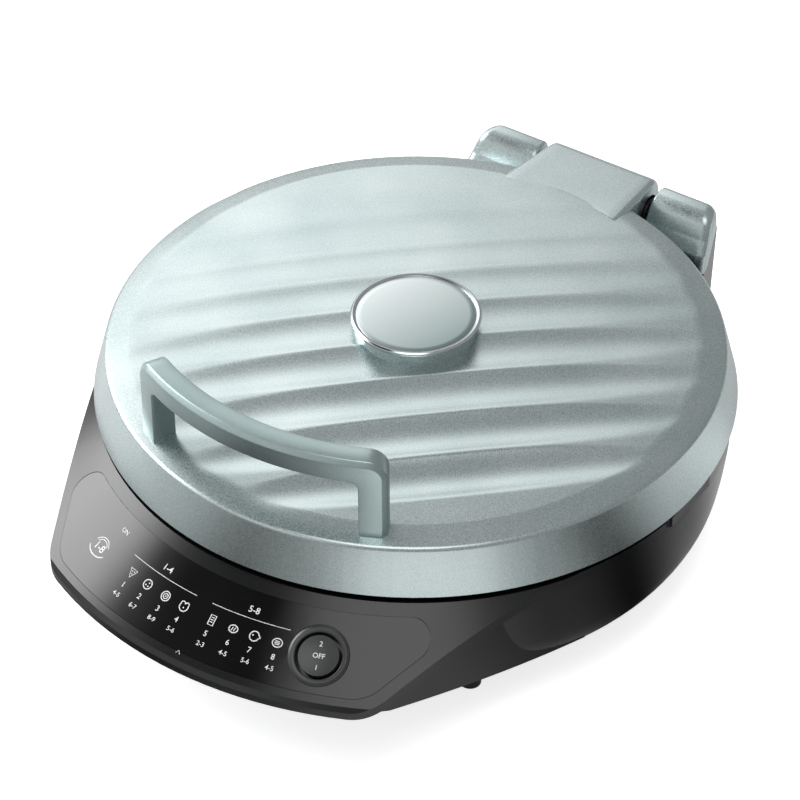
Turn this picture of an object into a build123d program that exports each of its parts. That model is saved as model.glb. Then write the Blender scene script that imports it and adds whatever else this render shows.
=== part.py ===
from build123d import *
from math import cos, pi, radians, sin, sqrt, tan
import os

# Millimetres. The table is z = 0, the front is -Y and the hinge is at the back. The pan axis
# is the upright line through the middle of the cooking plates. A rise is a height over the
# lid's lower edge.

# Clearances
running_gap = 0.05
seat_gap = 0.3

# Lid form
lid_radius = 170.0
lid_edge_height = 88.0
shoulder_inset = 6.9
shoulder_rise = 26.4
shoulder_round = 3.0
dome_ring_inset = 21.0
dome_ring_rise = 30.0
dome_rise = 37.5
lid_wall = 2.6
dome_wall = 5.4

# Ripples: scallops side by side across the dome, deepest at the front
ripple_direction = 42.0
ripple_lanes = 9.9333
ripple_offset = -0.45
ripples_before = 4
ripples_behind = 4
ripple_front_depth = 3.0
ripple_back_depth = 0.6
ripple_fade = 10.0

# Badge on the middle of the dome
badge_radius = 34.4
badge_ring_width = 2.8
badge_rise = 44.2
badge_thickness = 2.4
badge_recess = 0.5
plinth_inset = 1.8

# Handle: an arched bar on two posts
handle_half_angle = 28.6
handle_window_angle = 23.3
handle_inset = 12.3
handle_depth = 13.0
handle_bar = 13.0
handle_rise = 75.0
handle_corner = 10.0
handle_inner_corner = 4.0
handle_screw_radius = 2.0
handle_screw_length = 22.0

# Base form
seam_gap = 4.0
bowl_rim_inset = 2.2
bowl_floor_height = 6.0
bowl_heel_turn = 10.3
bowl_heel_radius = 38.0
bowl_sole_turn = 67.4
bowl_sole_radius = 85.0
housing_wall = 2.5
rim_depth = 8.0
rim_inner_inset = 20.0

# Control nose
deck_slope = 33.7
deck_inset = 1.0
deck_wall = 2.5
nose_overhang = 46.0
nose_side_angle = 23.46
nose_corner = 28.0
slab_depth = 5.2
slab_round = 2.0
belly_inset = 9.0
belly_chin_overhang = 28.0
belly_chin_drop = 50.0
belly_foot_inset = 20.0
belly_foot_drop = 64.0

# Control film and what sits in the deck
film_inset = 5.5
film_overhang = 5.0
film_thickness = 0.6
film_recess = 0.5
film_corner = 9.0
switch_angle = 19.4
switch_overhang = 24.5
bezel_radius = 15.5
bezel_hole = 11.9
bezel_depth = 8.0
bezel_lip = 1.0
rocker_radius = 10.3
rocker_lip = 0.6
rocker_dish = 0.9
rocker_depth = 4.5
rocker_pivot_depth = 8.0
rocker_pivot_radius = 1.5
rocker_pivot_length = 15.0
switch_ear = 2.5
switch_case_depth = 18.0
switch_case_width = 20.0
switch_case_height = 14.0
terminal_width = 5.0
terminal_thickness = 0.8
terminal_length = 8.0
lamp_angle = -22.6
lamp_overhang = 12.0
lamp_radius = 2.0
lamp_length = 11.0
lamp_collar_wall = 1.8
lamp_collar_depth = 7.0

# Hinge
hinge_overhang = 11.0
hinge_rise = 10.0
float_travel = 3.0
pin_radius = 2.5
pin_end_gap = 1.0
block_back = 14.5
block_half_rear = 33.5
block_half_front = 37.0
block_rise = 26.0
block_bottom_rise = 3.0
block_round = 8.0
block_bevel = 1.8
knuckle_radius = 9.0
knuckle_gap = 1.5
bay_gap = 0.7
bracket_half = 24.0
bracket_inset = 22.0
bracket_thickness = 7.5
ear_inner = 38.0
ear_outer = 72.0
ear_flare = 25.0
ear_radius = 12.0
ear_height = 13.0
ear_inset = 6.0
ear_shelf = 6.0
ear_shelf_run = 2.0
ear_crown = 14.0
ear_core_drop = 8.0
ear_round = 5.5
ear_lid_gap = 1.5
cap_wall = 2.2
cap_rear_rise = 8.5
cap_drop = 13.5
cap_run = 18.0
tower_foot_rise = -66.0
tower_inset = 66.0
tower_root_rise = -74.0
tower_lean = 0.155
window_half = 55.0
window_low = -55.0
window_high = -20.0
slide_half_width = 3.5
slide_half_height = 3.5
slide_inner = 46.0
slide_outer = 64.0

# Cooking plates and heaters
plate_thickness = 3.0
lower_floor_drop = 29.0
lower_floor_inset = 30.0
lower_mouth_inset = 27.0
flange_thickness = 2.5
flange_inset = 9.0
upper_face_drop = 19.0
upper_face_inset = 35.0
upper_mouth_inset = 31.0
bead_inner_inset = 23.0
bead_gap = 1.4
upper_flange_inset = 12.0
upper_flange_rise = 1.5
tube_radius = 3.3
tube_ring_inset = 75.0
tube_arc = 320.0
tube_tail = 16.0
clip_thickness = 1.1
clip_side_gap = 0.6
clip_arc = 6.0
shield_thickness = 0.8
shield_side_gap = 2.0
shield_rim_width = 5.0
thermostat_radius = 8.0
thermostat_flange = 11.0
thermostat_flange_thickness = 1.2
thermostat_cap = 6.0

# Lid frame, latches and fasteners
frame_gap = 0.6
frame_thickness = 2.7
frame_inner_inset = 24.0
frame_screw_inset = 14.0
rim_screw_inset = 12.5
ring_screws = 8
screw_radius = 1.5
screw_head_radius = 2.4
screw_head_height = 1.5
screw_length = 12.0
boss_radius = 4.0
boss_rib = 3.0
boss_drop = 28.0
latch_half = 21.0
latch_inset = 1.6
latch_bar = 5.4
latch_bar_depth = 5.8
latch_top_drop = 1.4
latch_grip = 2.6
latch_nose_half = 12.0
latch_end_round = 2.5
slide_neck_half = 5.0
slide_half = 8.0
slide_plate = 1.8
slide_head = 2.0
hook_depth = 0.9

# Underside
foot_inset = 29.0
foot_radius = 6.25
foot_height = 8.0
foot_bore = 1.8
foot_recess = 3.6
foot_recess_depth = 3.0
foot_boss_radius = 7.2
foot_boss_height = 12.0
cover_inset = 78.5
cover_gap = 0.5
cover_ledge = 7.0
cover_rim = 3.0
vent_length = 40.0
vent_width = 3.0
vent_pitch = 9.0
vent_count = 9

# Mains inlet and wiring
inlet_drop = 45.0
inlet_half_width = 13.5
inlet_half_height = 10.0
inlet_flange_margin = 4.0
inlet_flange = 2.0
inlet_length = 22.0
inlet_wall = 1.8
inlet_socket_depth = 15.5
inlet_pad_overhang = 19.5
inlet_pad_depth = 11.0
inlet_pad_margin = 7.0
inlet_corner = 5.0
blade_width = 2.0
blade_height = 4.0
blade_length = 9.5
blade_tail = 6.0
blade_pitch = 7.0
blade_offset = 2.0
block_length = 30.0
block_width = 18.0
block_height = 13.0
terminal_bore = 2.4
block_gap = 5.5
lead_radius = 1.5
lead_gap = 6.5
lead_pitch = 3.6
lead_count = 3
lead_start = -70.0
lead_arc = 148.0
fuse_radius = 3.0
fuse_length = 22.0
fuse_place = 40.0

# Radii and places that follow the lid's radius
shoulder_radius = lid_radius - shoulder_inset
dome_ring_radius = lid_radius - dome_ring_inset
handle_outer_radius = lid_radius - handle_inset
bowl_rim_radius = lid_radius - bowl_rim_inset
rim_inner_radius = lid_radius - rim_inner_inset
deck_start = lid_radius - deck_inset
nose_reach = lid_radius + nose_overhang
belly_chin_radius = lid_radius + belly_chin_overhang
belly_foot_radius = lid_radius - belly_foot_inset
film_inner_radius = lid_radius + film_overhang
switch_radius = lid_radius + switch_overhang
lamp_radial = lid_radius + lamp_overhang
hinge_back = lid_radius + hinge_overhang
bracket_front = lid_radius - bracket_inset
ear_front = lid_radius - ear_inset
tower_root = lid_radius - tower_inset
lower_floor_radius = lid_radius - lower_floor_inset
lower_mouth_radius = lid_radius - lower_mouth_inset
flange_radius = lid_radius - flange_inset
upper_face_radius = lid_radius - upper_face_inset
upper_mouth_radius = lid_radius - upper_mouth_inset
upper_bead_inner = lid_radius - bead_inner_inset
upper_flange_radius = lid_radius - upper_flange_inset
upper_bead_outer = upper_flange_radius - latch_grip - bead_gap
tube_ring_radius = lid_radius - tube_ring_inset
frame_inner_radius = lid_radius - frame_inner_inset
frame_screw_ring = lid_radius - frame_screw_inset
rim_screw_ring = lid_radius - rim_screw_inset
latch_face = lid_radius - latch_inset
foot_ring = lid_radius - foot_inset
cover_radius = lid_radius - cover_inset
inlet_pad = lid_radius + inlet_pad_overhang
block_place = cover_radius + block_gap
lead_ring = cover_radius + lead_gap
ripple_pitch = 2 * dome_ring_radius / ripple_lanes
ripple_shift = ripple_offset * ripple_pitch

# Levels and lines worked out from the sizes above
hinge_reach = hinge_back + block_back
pan_y = (nose_reach - hinge_reach) / 2
rim_height = lid_edge_height - seam_gap
rim_seat_height = rim_height - rim_depth
ledge_height = rim_height - flange_thickness - seat_gap
dome_sphere = (dome_ring_radius**2 + (dome_rise - dome_ring_rise) ** 2) / (2 * (dome_rise - dome_ring_rise))
pan_axis = Axis((0, pan_y, 0), (0, 0, 1))
meridian = Plane(origin=(0, pan_y, 0), x_dir=(1, 0, 0), z_dir=(0, -1, 0))
side_view = Plane(origin=(0, pan_y, 0), x_dir=(0, 1, 0), z_dir=(1, 0, 0))
hinge_height = lid_edge_height + hinge_rise
far = 2 * nose_reach


def up(rise):
    """Height over the table of a rise over the lid's lower edge."""
    return lid_edge_height + rise


def level(height):
    """A flat plane at a height, centred on the pan axis."""
    return Plane(origin=(0, pan_y, height))


def meridian_at(angle):
    """An upright plane through the pan axis, its x running outwards at an angle."""
    return Plane(
        origin=(0, pan_y, 0),
        x_dir=(cos(radians(angle)), sin(radians(angle)), 0),
        z_dir=(sin(radians(angle)), -cos(radians(angle)), 0),
    )


def turned(points, mode=Mode.ADD, arc=360, start=0):
    """Turn an outline of (radius, height) points about the pan axis."""
    with BuildSketch(meridian_at(start)) as outline:
        with BuildLine():
            Polyline(*points, close=True)
        make_face()
    revolve(outline.sketch, axis=pan_axis, revolution_arc=arc, mode=mode)


def side_prism(points, half_width, mode=Mode.ADD, middle=0):
    """Extrude an outline of (distance behind the pan axis, height) points across X."""
    with BuildSketch(side_view.offset(middle)) as outline:
        with BuildLine():
            Polyline(*points, close=True)
        make_face()
    extrude(outline.sketch, amount=half_width, both=True, mode=mode)


def cross_rod(start, end, back, height, radius, mode=Mode.ADD):
    """A round rod along X, at a distance behind the pan axis."""
    with BuildSketch(side_view.offset(start)) as outline:
        with Locations((back, height)):
            Circle(radius)
    extrude(outline.sketch, amount=end - start, mode=mode)


def upright_rods(places, bottom, top, radius, mode=Mode.ADD):
    """Round rods standing at (x, y) places round the pan axis."""
    with BuildSketch(level(bottom)) as outline:
        with Locations(*places):
            Circle(radius)
    extrude(outline.sketch, amount=top - bottom, mode=mode)


def slab(x_low, x_high, y_low, y_high, bottom, top, mode=Mode.ADD):
    """A rectangular block between (x, y) limits round the pan axis."""
    with BuildSketch(level(bottom)) as outline:
        with Locations(((x_low + x_high) / 2, (y_low + y_high) / 2)):
            Rectangle(x_high - x_low, y_high - y_low)
    extrude(outline.sketch, amount=top - bottom, mode=mode)


def ring_places(radius, count, start):
    """Places evenly round the pan axis."""
    angles = [radians(start + 360 * turn / count) for turn in range(count)]
    return [(radius * cos(angle), radius * sin(angle)) for angle in angles]


def band_radius(rise):
    """Outer radius of the lid's leaning band at a rise."""
    return lid_radius - (lid_radius - shoulder_radius) * rise / shoulder_rise


def deck_height(radius):
    """Height of the sloping control deck at a radius."""
    return rim_height - (radius - deck_start) * tan(radians(deck_slope))


def deck_plane(angle, radius):
    """A plane lying on the deck: x along the rim, y up the slope, z out of the deck."""
    turn = radians(angle)
    slope = radians(deck_slope)
    return Plane(
        origin=(radius * sin(turn), pan_y - radius * cos(turn), deck_height(radius)),
        x_dir=(cos(turn), sin(turn), 0),
        z_dir=(sin(slope) * sin(turn), -sin(slope) * cos(turn), cos(slope)),
    )


def nose_outline(inset):
    """The nose seen from above, a given distance inside its edge."""
    side = bowl_rim_radius - inset
    reach = nose_reach - inset
    turn = radians(nose_side_angle)
    start = (side * cos(turn), -side * sin(turn))
    run = sqrt(reach**2 - side**2)
    corner = (start[0] - run * sin(turn), start[1] - run * cos(turn))
    with BuildSketch() as outline:
        with BuildLine():
            Polyline((-corner[0], corner[1]), (-start[0], start[1]), start, corner)
            ThreePointArc(corner, (0, -reach), (-corner[0], corner[1]))
        make_face()
        corners = outline.vertices().sort_by(Axis.Y)[:2]
        fillet(corners, nose_corner - inset)
    return outline.sketch


def nose_prism(inset, bottom, top, mode):
    """Extrude the nose's outline between two heights."""
    with BuildSketch(level(bottom)) as outline:
        add(nose_outline(inset))
    extrude(outline.sketch, amount=top - bottom, mode=mode)


def bowl_form(inset, top):
    """The bowl's section, a given distance inside its skin, up to a height: side, heel and sole arcs."""
    heel = sin(radians(bowl_heel_turn))
    sole = sin(radians(bowl_sole_turn))
    depth = rim_height - bowl_floor_height
    side_radius = (depth - bowl_heel_radius * (sole - heel) - bowl_sole_radius * (1 - sole)) / heel
    rim = (bowl_rim_radius - inset, rim_height)
    with BuildSketch(meridian) as outline:
        with BuildLine():
            wall = JernArc(rim, (0, -1), side_radius - inset, -bowl_heel_turn)
            bend = JernArc(wall @ 1, wall % 1, bowl_heel_radius - inset, bowl_heel_turn - bowl_sole_turn)
            base = JernArc(bend @ 1, bend % 1, bowl_sole_radius - inset, bowl_sole_turn - 90)
            Polyline(base @ 1, (0, (base @ 1).Y), (0, rim_height), rim)
        make_face()
        with Locations((0, top)):
            Rectangle(far, far, align=(Align.CENTER, Align.MIN), mode=Mode.SUBTRACT)
    return outline.sketch


def finish(builder, name):
    """Name a finished piece and write it."""
    builder.part.label = name
    export_step(builder.part, f"parts/{name}.step")


os.makedirs("parts", exist_ok=True)

# Lid form: the outside of the lid as a full body, with its ripples, plinth and hinge block
ripple_along = (cos(radians(ripple_direction)), sin(radians(ripple_direction)), 0)
ripple_across = (-ripple_along[1], ripple_along[0], 0)
ripple_span = (ripples_before + ripples_behind - 1) * ripple_pitch


def ripple(number):
    """One scallop: a round groove bent to run out at the dome's edge."""
    across = ripple_shift + (number + 0.5) * ripple_pitch
    share = (number + ripples_before) * ripple_pitch / ripple_span
    depth = ripple_front_depth + (ripple_back_depth - ripple_front_depth) * share
    half = sqrt((dome_ring_radius + ripple_fade) ** 2 - across**2)
    crown = up(dome_rise) - across**2 / (2 * dome_sphere)
    bend = 1 / (1 / dome_sphere - 2 * depth / half**2)
    groove = ripple_pitch**2 / (8 * depth) + depth / 2
    place = Plane(
        origin=(across * ripple_across[0], pan_y + across * ripple_across[1], crown - depth - bend),
        x_dir=ripple_along,
        z_dir=ripple_across,
    )
    with Locations(place):
        Torus(bend + groove, groove, mode=Mode.SUBTRACT)


with BuildPart() as block_form:
    side_prism(
        [
            (dome_ring_radius - lid_wall, up(block_bottom_rise)),
            (hinge_reach, up(block_bottom_rise)),
            (hinge_reach, up(block_rise)),
            (dome_ring_radius, up(dome_ring_rise)),
            (dome_ring_radius - lid_wall, up(dome_ring_rise)),
        ],
        block_half_front + lid_wall,
    )
    fillet(block_form.edges().filter_by(Axis.X).group_by(Axis.Y)[-1].sort_by(Axis.Z)[-1], block_round)
    with BuildSketch(level(up(0))):
        with BuildLine():
            Polyline(
                (-block_half_rear, hinge_reach),
                (-block_half_front, dome_ring_radius - lid_wall),
                (block_half_front, dome_ring_radius - lid_wall),
                (block_half_rear, hinge_reach),
                close=True,
            )
        make_face()
    extrude(amount=handle_rise, mode=Mode.INTERSECT)
    block_edges = block_form.faces().sort_by(Axis.Z)[-1].edges().filter_by(GeomType.LINE).sort_by(Axis.X)
    chamfer([block_edges[0], block_edges[-1]], block_bevel)
    with BuildSketch(level(up(0))):
        Circle(dome_ring_radius)
    extrude(amount=handle_rise, mode=Mode.SUBTRACT)

with BuildPart() as lid_form:
    arc_middle = up(dome_rise) - (dome_sphere - sqrt(dome_sphere**2 - (dome_ring_radius / 2) ** 2))
    with BuildSketch(meridian) as lid_outline:
        with BuildLine():
            Polyline(
                (0, up(dome_rise)),
                (0, up(0)),
                (lid_radius, up(0)),
                (shoulder_radius, up(shoulder_rise)),
                (dome_ring_radius, up(dome_ring_rise)),
            )
            ThreePointArc(
                (dome_ring_radius, up(dome_ring_rise)),
                (dome_ring_radius / 2, arc_middle),
                (0, up(dome_rise)),
            )
        make_face()
        shoulder = lid_outline.vertices().sort_by_distance((shoulder_radius, up(shoulder_rise), 0))[0]
        fillet(shoulder, shoulder_round)
    revolve(axis=pan_axis)
    upright_rods([(0, 0)], up(0), far, badge_radius - 2 * plinth_inset, mode=Mode.SUBTRACT)
    for number in range(-ripples_before, ripples_behind):
        ripple(number)
    upright_rods([(0, 0)], up(0), up(badge_rise - badge_thickness), badge_radius - plinth_inset)
    add(block_form.part)

# Lid shell
handle_inner_radius = handle_outer_radius - handle_depth
handle_mid_radius = handle_outer_radius - handle_depth / 2
handle_foot_angle = radians(handle_half_angle + handle_window_angle) / 2
handle_feet = [
    (side * handle_mid_radius * sin(handle_foot_angle), -handle_mid_radius * cos(handle_foot_angle))
    for side in (-1, 1)
]
frame_top = up(upper_flange_rise + seat_gap + frame_thickness)
frame_bottom = frame_top - frame_thickness
frame_places = ring_places(frame_screw_ring, ring_screws, 180 / ring_screws)
bracket_places = [(side * bracket_half / 2, frame_screw_ring) for side in (-1, 1)]
handle_seat = up(dome_ring_rise - dome_wall) - screw_head_height

with BuildPart() as lid_shell:
    add(lid_form.part)
    turned(
        [
            (0, up(0)),
            (lid_radius - lid_wall, up(0)),
            (shoulder_radius - lid_wall, up(shoulder_rise - dome_wall / 2)),
            (dome_ring_radius, up(dome_ring_rise - dome_wall)),
            (0, up(dome_rise - dome_wall)),
        ],
        mode=Mode.SUBTRACT,
    )
    upright_rods(
        frame_places,
        frame_top,
        up(dome_ring_rise - dome_wall / 2),
        boss_radius,
    )
    upright_rods(
        frame_places,
        frame_top - seat_gap,
        frame_top + screw_length,
        screw_radius + running_gap,
        mode=Mode.SUBTRACT,
    )
    upright_rods(handle_feet, handle_seat, up(dome_ring_rise - dome_wall / 2), boss_radius)
    upright_rods(
        handle_feet,
        handle_seat - seat_gap,
        up(handle_rise),
        handle_screw_radius + running_gap,
        mode=Mode.SUBTRACT,
    )
    side_prism(
        [
            (bracket_front, frame_top - seat_gap),
            (hinge_back, frame_top - seat_gap),
            (hinge_back, frame_top + bracket_thickness + seat_gap),
            (bracket_front, frame_top + bracket_thickness + seat_gap),
        ],
        bracket_half + seat_gap,
        mode=Mode.SUBTRACT,
    )
    cross_rod(
        -ear_inner,
        ear_inner,
        hinge_back,
        hinge_height,
        knuckle_radius + knuckle_gap,
        mode=Mode.SUBTRACT,
    )
finish(lid_shell, "lid_shell")

# Handle: a stretch of a ring with a window cut through it
def handle_arch(half_angle, grow, top):
    """A stretch of the handle's ring in front of the pan axis, up to a height."""
    turned(
        [
            (handle_inner_radius - grow, up(0)),
            (handle_outer_radius + grow, up(0)),
            (handle_outer_radius + grow, top),
            (handle_inner_radius - grow, top),
        ],
        arc=2 * half_angle,
        start=-90 - half_angle,
    )


with BuildPart() as handle_window:
    handle_arch(handle_window_angle, seat_gap, up(handle_rise - handle_bar))
    fillet(handle_window.edges().filter_by(GeomType.LINE).group_by(Axis.Z)[-1], handle_inner_corner)

with BuildPart() as lid_handle:
    handle_arch(handle_half_angle, 0, up(handle_rise))
    fillet(lid_handle.edges().filter_by(GeomType.LINE).group_by(Axis.Z)[-1], handle_corner)
    add(handle_window.part, mode=Mode.SUBTRACT)
    add(lid_form.part, mode=Mode.SUBTRACT)
    upright_rods(
        handle_feet,
        up(0),
        up(dome_ring_rise) + handle_screw_length,
        handle_screw_radius + running_gap,
        mode=Mode.SUBTRACT,
    )
finish(lid_handle, "lid_handle")

with BuildPart() as handle_screws:
    upright_rods(handle_feet, handle_seat, handle_seat + handle_screw_length, handle_screw_radius)
    upright_rods(handle_feet, handle_seat - screw_head_height, handle_seat, 2 * handle_screw_radius)
finish(handle_screws, "handle_screws")

# Badge: a bright ring round a bare glossy disc
with BuildPart() as badge_ring:
    turned(
        [
            (badge_radius - badge_ring_width, up(badge_rise - badge_thickness)),
            (badge_radius - badge_thickness / 4, up(badge_rise - badge_thickness)),
            (badge_radius, up(badge_rise - badge_thickness * 3 / 4)),
            (badge_radius, up(badge_rise - badge_thickness / 4)),
            (badge_radius - badge_thickness / 4, up(badge_rise)),
            (badge_radius - badge_ring_width, up(badge_rise)),
        ]
    )
finish(badge_ring, "badge_ring")

with BuildPart() as badge_disc:
    upright_rods(
        [(0, 0)],
        up(badge_rise - badge_thickness),
        up(badge_rise - badge_recess),
        badge_radius - badge_ring_width - running_gap,
    )
finish(badge_disc, "badge_disc")

# Lid inner frame, with fixed hooks for the upper plate at the back
hook_angles = (67, 108)
hook_arc = 5
upper_flange_top = up(upper_flange_rise)
upper_flange_bottom = upper_flange_top - flange_thickness
hook_top = upper_flange_bottom - seat_gap
hook_bottom = hook_top - hook_depth
hook_inner = upper_flange_radius - latch_grip

with BuildPart() as lid_inner_frame:
    frame_radius = band_radius(frame_top - lid_edge_height) - lid_wall - frame_gap
    turned(
        [
            (frame_inner_radius, frame_bottom),
            (frame_radius, frame_bottom),
            (frame_radius, frame_top),
            (frame_inner_radius, frame_top),
        ]
    )
    for angle in hook_angles:
        turned(
            [
                (upper_flange_radius + seat_gap, frame_top),
                (upper_flange_radius + seat_gap, hook_top),
                (hook_inner, hook_top),
                (hook_inner, hook_bottom),
                (upper_flange_radius + seat_gap + slide_plate, hook_bottom),
                (upper_flange_radius + seat_gap + slide_plate, frame_top),
            ],
            arc=hook_arc,
            start=angle,
        )
    upright_rods(
        frame_places,
        frame_bottom - seat_gap,
        frame_top + seat_gap,
        screw_radius + running_gap,
        mode=Mode.SUBTRACT,
    )
    upright_rods(
        frame_places,
        frame_bottom - seat_gap,
        frame_bottom + screw_head_height,
        screw_head_radius + seat_gap,
        mode=Mode.SUBTRACT,
    )
    upright_rods(
        bracket_places,
        frame_bottom - seat_gap,
        frame_top + seat_gap,
        screw_radius + running_gap,
        mode=Mode.SUBTRACT,
    )
    upright_rods(
        bracket_places,
        frame_bottom - seat_gap,
        frame_bottom + screw_head_height,
        screw_head_radius + seat_gap,
        mode=Mode.SUBTRACT,
    )
    slab(
        -slide_neck_half,
        slide_neck_half,
        -far,
        -upper_flange_radius,
        frame_bottom - seat_gap,
        frame_top + seat_gap,
        mode=Mode.SUBTRACT,
    )
finish(lid_inner_frame, "lid_inner_frame")

with BuildPart() as frame_screws:
    places = frame_places
    upright_rods(places, frame_bottom + screw_head_height, frame_top + screw_length - seat_gap, screw_radius)
    upright_rods(places, frame_bottom, frame_bottom + screw_head_height, screw_head_radius)
finish(frame_screws, "frame_screws")

# Hinge bracket: a knuckle on the pin with an arm into the lid
with BuildPart() as hinge_bracket:
    side_prism(
        [
            (bracket_front, frame_top),
            (hinge_back, frame_top),
            (hinge_back, frame_top + bracket_thickness),
            (bracket_front, frame_top + bracket_thickness),
        ],
        bracket_half,
    )
    cross_rod(-ear_inner + knuckle_gap, ear_inner - knuckle_gap, hinge_back, hinge_height, knuckle_radius)
    cross_rod(-ear_inner, ear_inner, hinge_back, hinge_height, pin_radius + running_gap, mode=Mode.SUBTRACT)
    upright_rods(
        bracket_places,
        frame_top - seat_gap,
        frame_top + bracket_thickness / 2,
        screw_radius + running_gap,
        mode=Mode.SUBTRACT,
    )
finish(hinge_bracket, "hinge_bracket")

with BuildPart() as bracket_screws:
    upright_rods(
        bracket_places,
        frame_bottom + screw_head_height,
        frame_top + bracket_thickness / 2 - seat_gap,
        screw_radius,
    )
    upright_rods(bracket_places, frame_bottom, frame_bottom + screw_head_height, screw_head_radius)
finish(bracket_screws, "bracket_screws")

# Upper plate: a die-cast disc that hangs under the frame
upper_back = up(plate_thickness - upper_face_drop)

with BuildPart() as upper_grill_plate:
    turned(
        [
            (0, up(-upper_face_drop)),
            (upper_face_radius, up(-upper_face_drop)),
            (upper_mouth_radius, upper_flange_bottom),
            (upper_bead_inner, upper_flange_bottom),
            (upper_bead_inner, rim_height + seat_gap),
            (upper_bead_outer, rim_height + seat_gap),
            (upper_bead_outer, upper_flange_bottom),
            (upper_flange_radius, upper_flange_bottom),
            (upper_flange_radius, upper_flange_top),
            (upper_mouth_radius - plate_thickness, upper_flange_top),
            (upper_face_radius - plate_thickness, upper_back),
            (0, upper_back),
        ]
    )
finish(upper_grill_plate, "upper_grill_plate")

# Upper heater: clips, tube, reflector and thermostat stacked over the plate's back
upper_tube_height = upper_back + seat_gap + clip_thickness + tube_radius
upper_shield_bottom = upper_tube_height + tube_radius + seat_gap


def shield(floor, rim, wall_radius, rim_inner, rim_outer):
    """A pressed reflector: a flat floor with a hole, a steep wall and a flat rim."""
    hole = thermostat_radius + seat_gap
    turned(
        [
            (hole, floor),
            (wall_radius, floor),
            (rim_inner, rim),
            (rim_outer, rim),
            (rim_outer, rim + shield_thickness),
            (rim_inner - shield_thickness, rim + shield_thickness),
            (wall_radius - shield_thickness, floor + shield_thickness),
            (hole, floor + shield_thickness),
        ]
    )


def heater_tube(height, tail_height):
    """A tube bent to an open ring, with two upright tails."""
    with BuildSketch(meridian_at((360 - tube_arc) / 2)) as section:
        with Locations((tube_ring_radius, height)):
            Circle(tube_radius)
    revolve(section.sketch, axis=pan_axis, revolution_arc=tube_arc)
    ends = [(360 - tube_arc) / 2, -(360 - tube_arc) / 2]
    for angle in ends:
        place = (tube_ring_radius * cos(radians(angle)), tube_ring_radius * sin(radians(angle)))
        upright_rods([place], min(height, tail_height), max(height, tail_height), tube_radius)
        with Locations((place[0], pan_y + place[1], height)):
            Sphere(tube_radius)


def tail_places():
    """Where the heater's tails pass through the reflector."""
    angle = radians((360 - tube_arc) / 2)
    return [(tube_ring_radius * cos(angle), side * tube_ring_radius * sin(angle)) for side in (-1, 1)]


def element_clips(base, crown):
    """Three straps that hold the tube against its reflector."""
    lean = 1 if crown > base else -1
    inner = tube_radius + clip_side_gap
    outer = inner + clip_thickness
    for angle in (60, 180, 300):
        turned(
            [
                (tube_ring_radius - outer, base),
                (tube_ring_radius - outer, crown),
                (tube_ring_radius + outer, crown),
                (tube_ring_radius + outer, base),
                (tube_ring_radius + inner, base),
                (tube_ring_radius + inner, crown - lean * clip_thickness),
                (tube_ring_radius - inner, crown - lean * clip_thickness),
                (tube_ring_radius - inner, base),
            ],
            arc=clip_arc,
            start=angle - clip_arc / 2,
        )


with BuildPart() as upper_heat_shield:
    shield(
        upper_shield_bottom,
        frame_top,
        upper_face_radius - plate_thickness - shield_side_gap,
        upper_mouth_radius - plate_thickness - shield_side_gap,
        frame_screw_ring - boss_radius - seat_gap,
    )
    upright_rods(
        tail_places(),
        up(-upper_face_drop),
        up(dome_rise),
        tube_radius + seat_gap,
        mode=Mode.SUBTRACT,
    )
    slab(
        -bracket_half - seat_gap,
        bracket_half + seat_gap,
        bracket_front - seat_gap,
        far,
        frame_top - seat_gap,
        up(dome_rise),
        mode=Mode.SUBTRACT,
    )
finish(upper_heat_shield, "upper_heat_shield")

with BuildPart() as upper_heating_element:
    heater_tube(upper_tube_height, upper_tube_height + tube_tail)
finish(upper_heating_element, "upper_heating_element")

with BuildPart() as upper_element_clips:
    element_clips(upper_shield_bottom, upper_back + seat_gap)
finish(upper_element_clips, "upper_element_clips")

with BuildPart() as upper_thermostat:
    flange_seat = upper_shield_bottom + shield_thickness
    upright_rods([(0, 0)], upper_back + seat_gap, flange_seat + thermostat_cap, thermostat_radius)
    upright_rods([(0, 0)], flange_seat, flange_seat + thermostat_flange_thickness, thermostat_flange)
finish(upper_thermostat, "upper_thermostat")

# Upper latch: a slide in the frame's front slot, hooked under the plate's flange
slide_near = -upper_flange_radius - 2 * seat_gap
slide_far = slide_near - slide_plate

with BuildPart() as upper_latch:
    slab(-slide_half, slide_half, slide_far, slide_near, hook_bottom, frame_bottom - seat_gap)
    slab(-slide_half, slide_half, slide_near, -hook_inner, hook_bottom, hook_top)
    neck = slide_neck_half - seat_gap
    slab(-neck, neck, slide_far, slide_near, frame_bottom - seat_gap, frame_top + seat_gap)
    slab(-slide_half, slide_half, slide_far, slide_near, frame_top + seat_gap, frame_top + slide_head)
finish(upper_latch, "upper_latch")

# Control nose forms: the deck's slab and the belly under it
deck_toe = nose_reach - slab_round
nose_low = deck_height(nose_reach) - slab_depth

with BuildPart() as deck_form:
    turned(
        [
            (flange_radius, rim_height),
            (deck_start, rim_height),
            (deck_toe, deck_height(deck_toe)),
            (nose_reach, deck_height(nose_reach) - slab_round / 2),
            (nose_reach, nose_low),
            (deck_start, rim_height - slab_depth),
            (flange_radius, rim_height - slab_depth),
        ]
    )
    nose_prism(0, 0, rim_height + 1, Mode.INTERSECT)

with BuildPart() as deck_hollow:
    turned(
        [
            (bowl_rim_radius + seat_gap, 0),
            (bowl_rim_radius + seat_gap, rim_height - deck_wall),
            (deck_start, rim_height - deck_wall),
            (nose_reach, deck_height(nose_reach) - deck_wall),
            (nose_reach, 0),
        ]
    )
    nose_prism(housing_wall, 0, rim_height + 1, Mode.INTERSECT)

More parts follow.
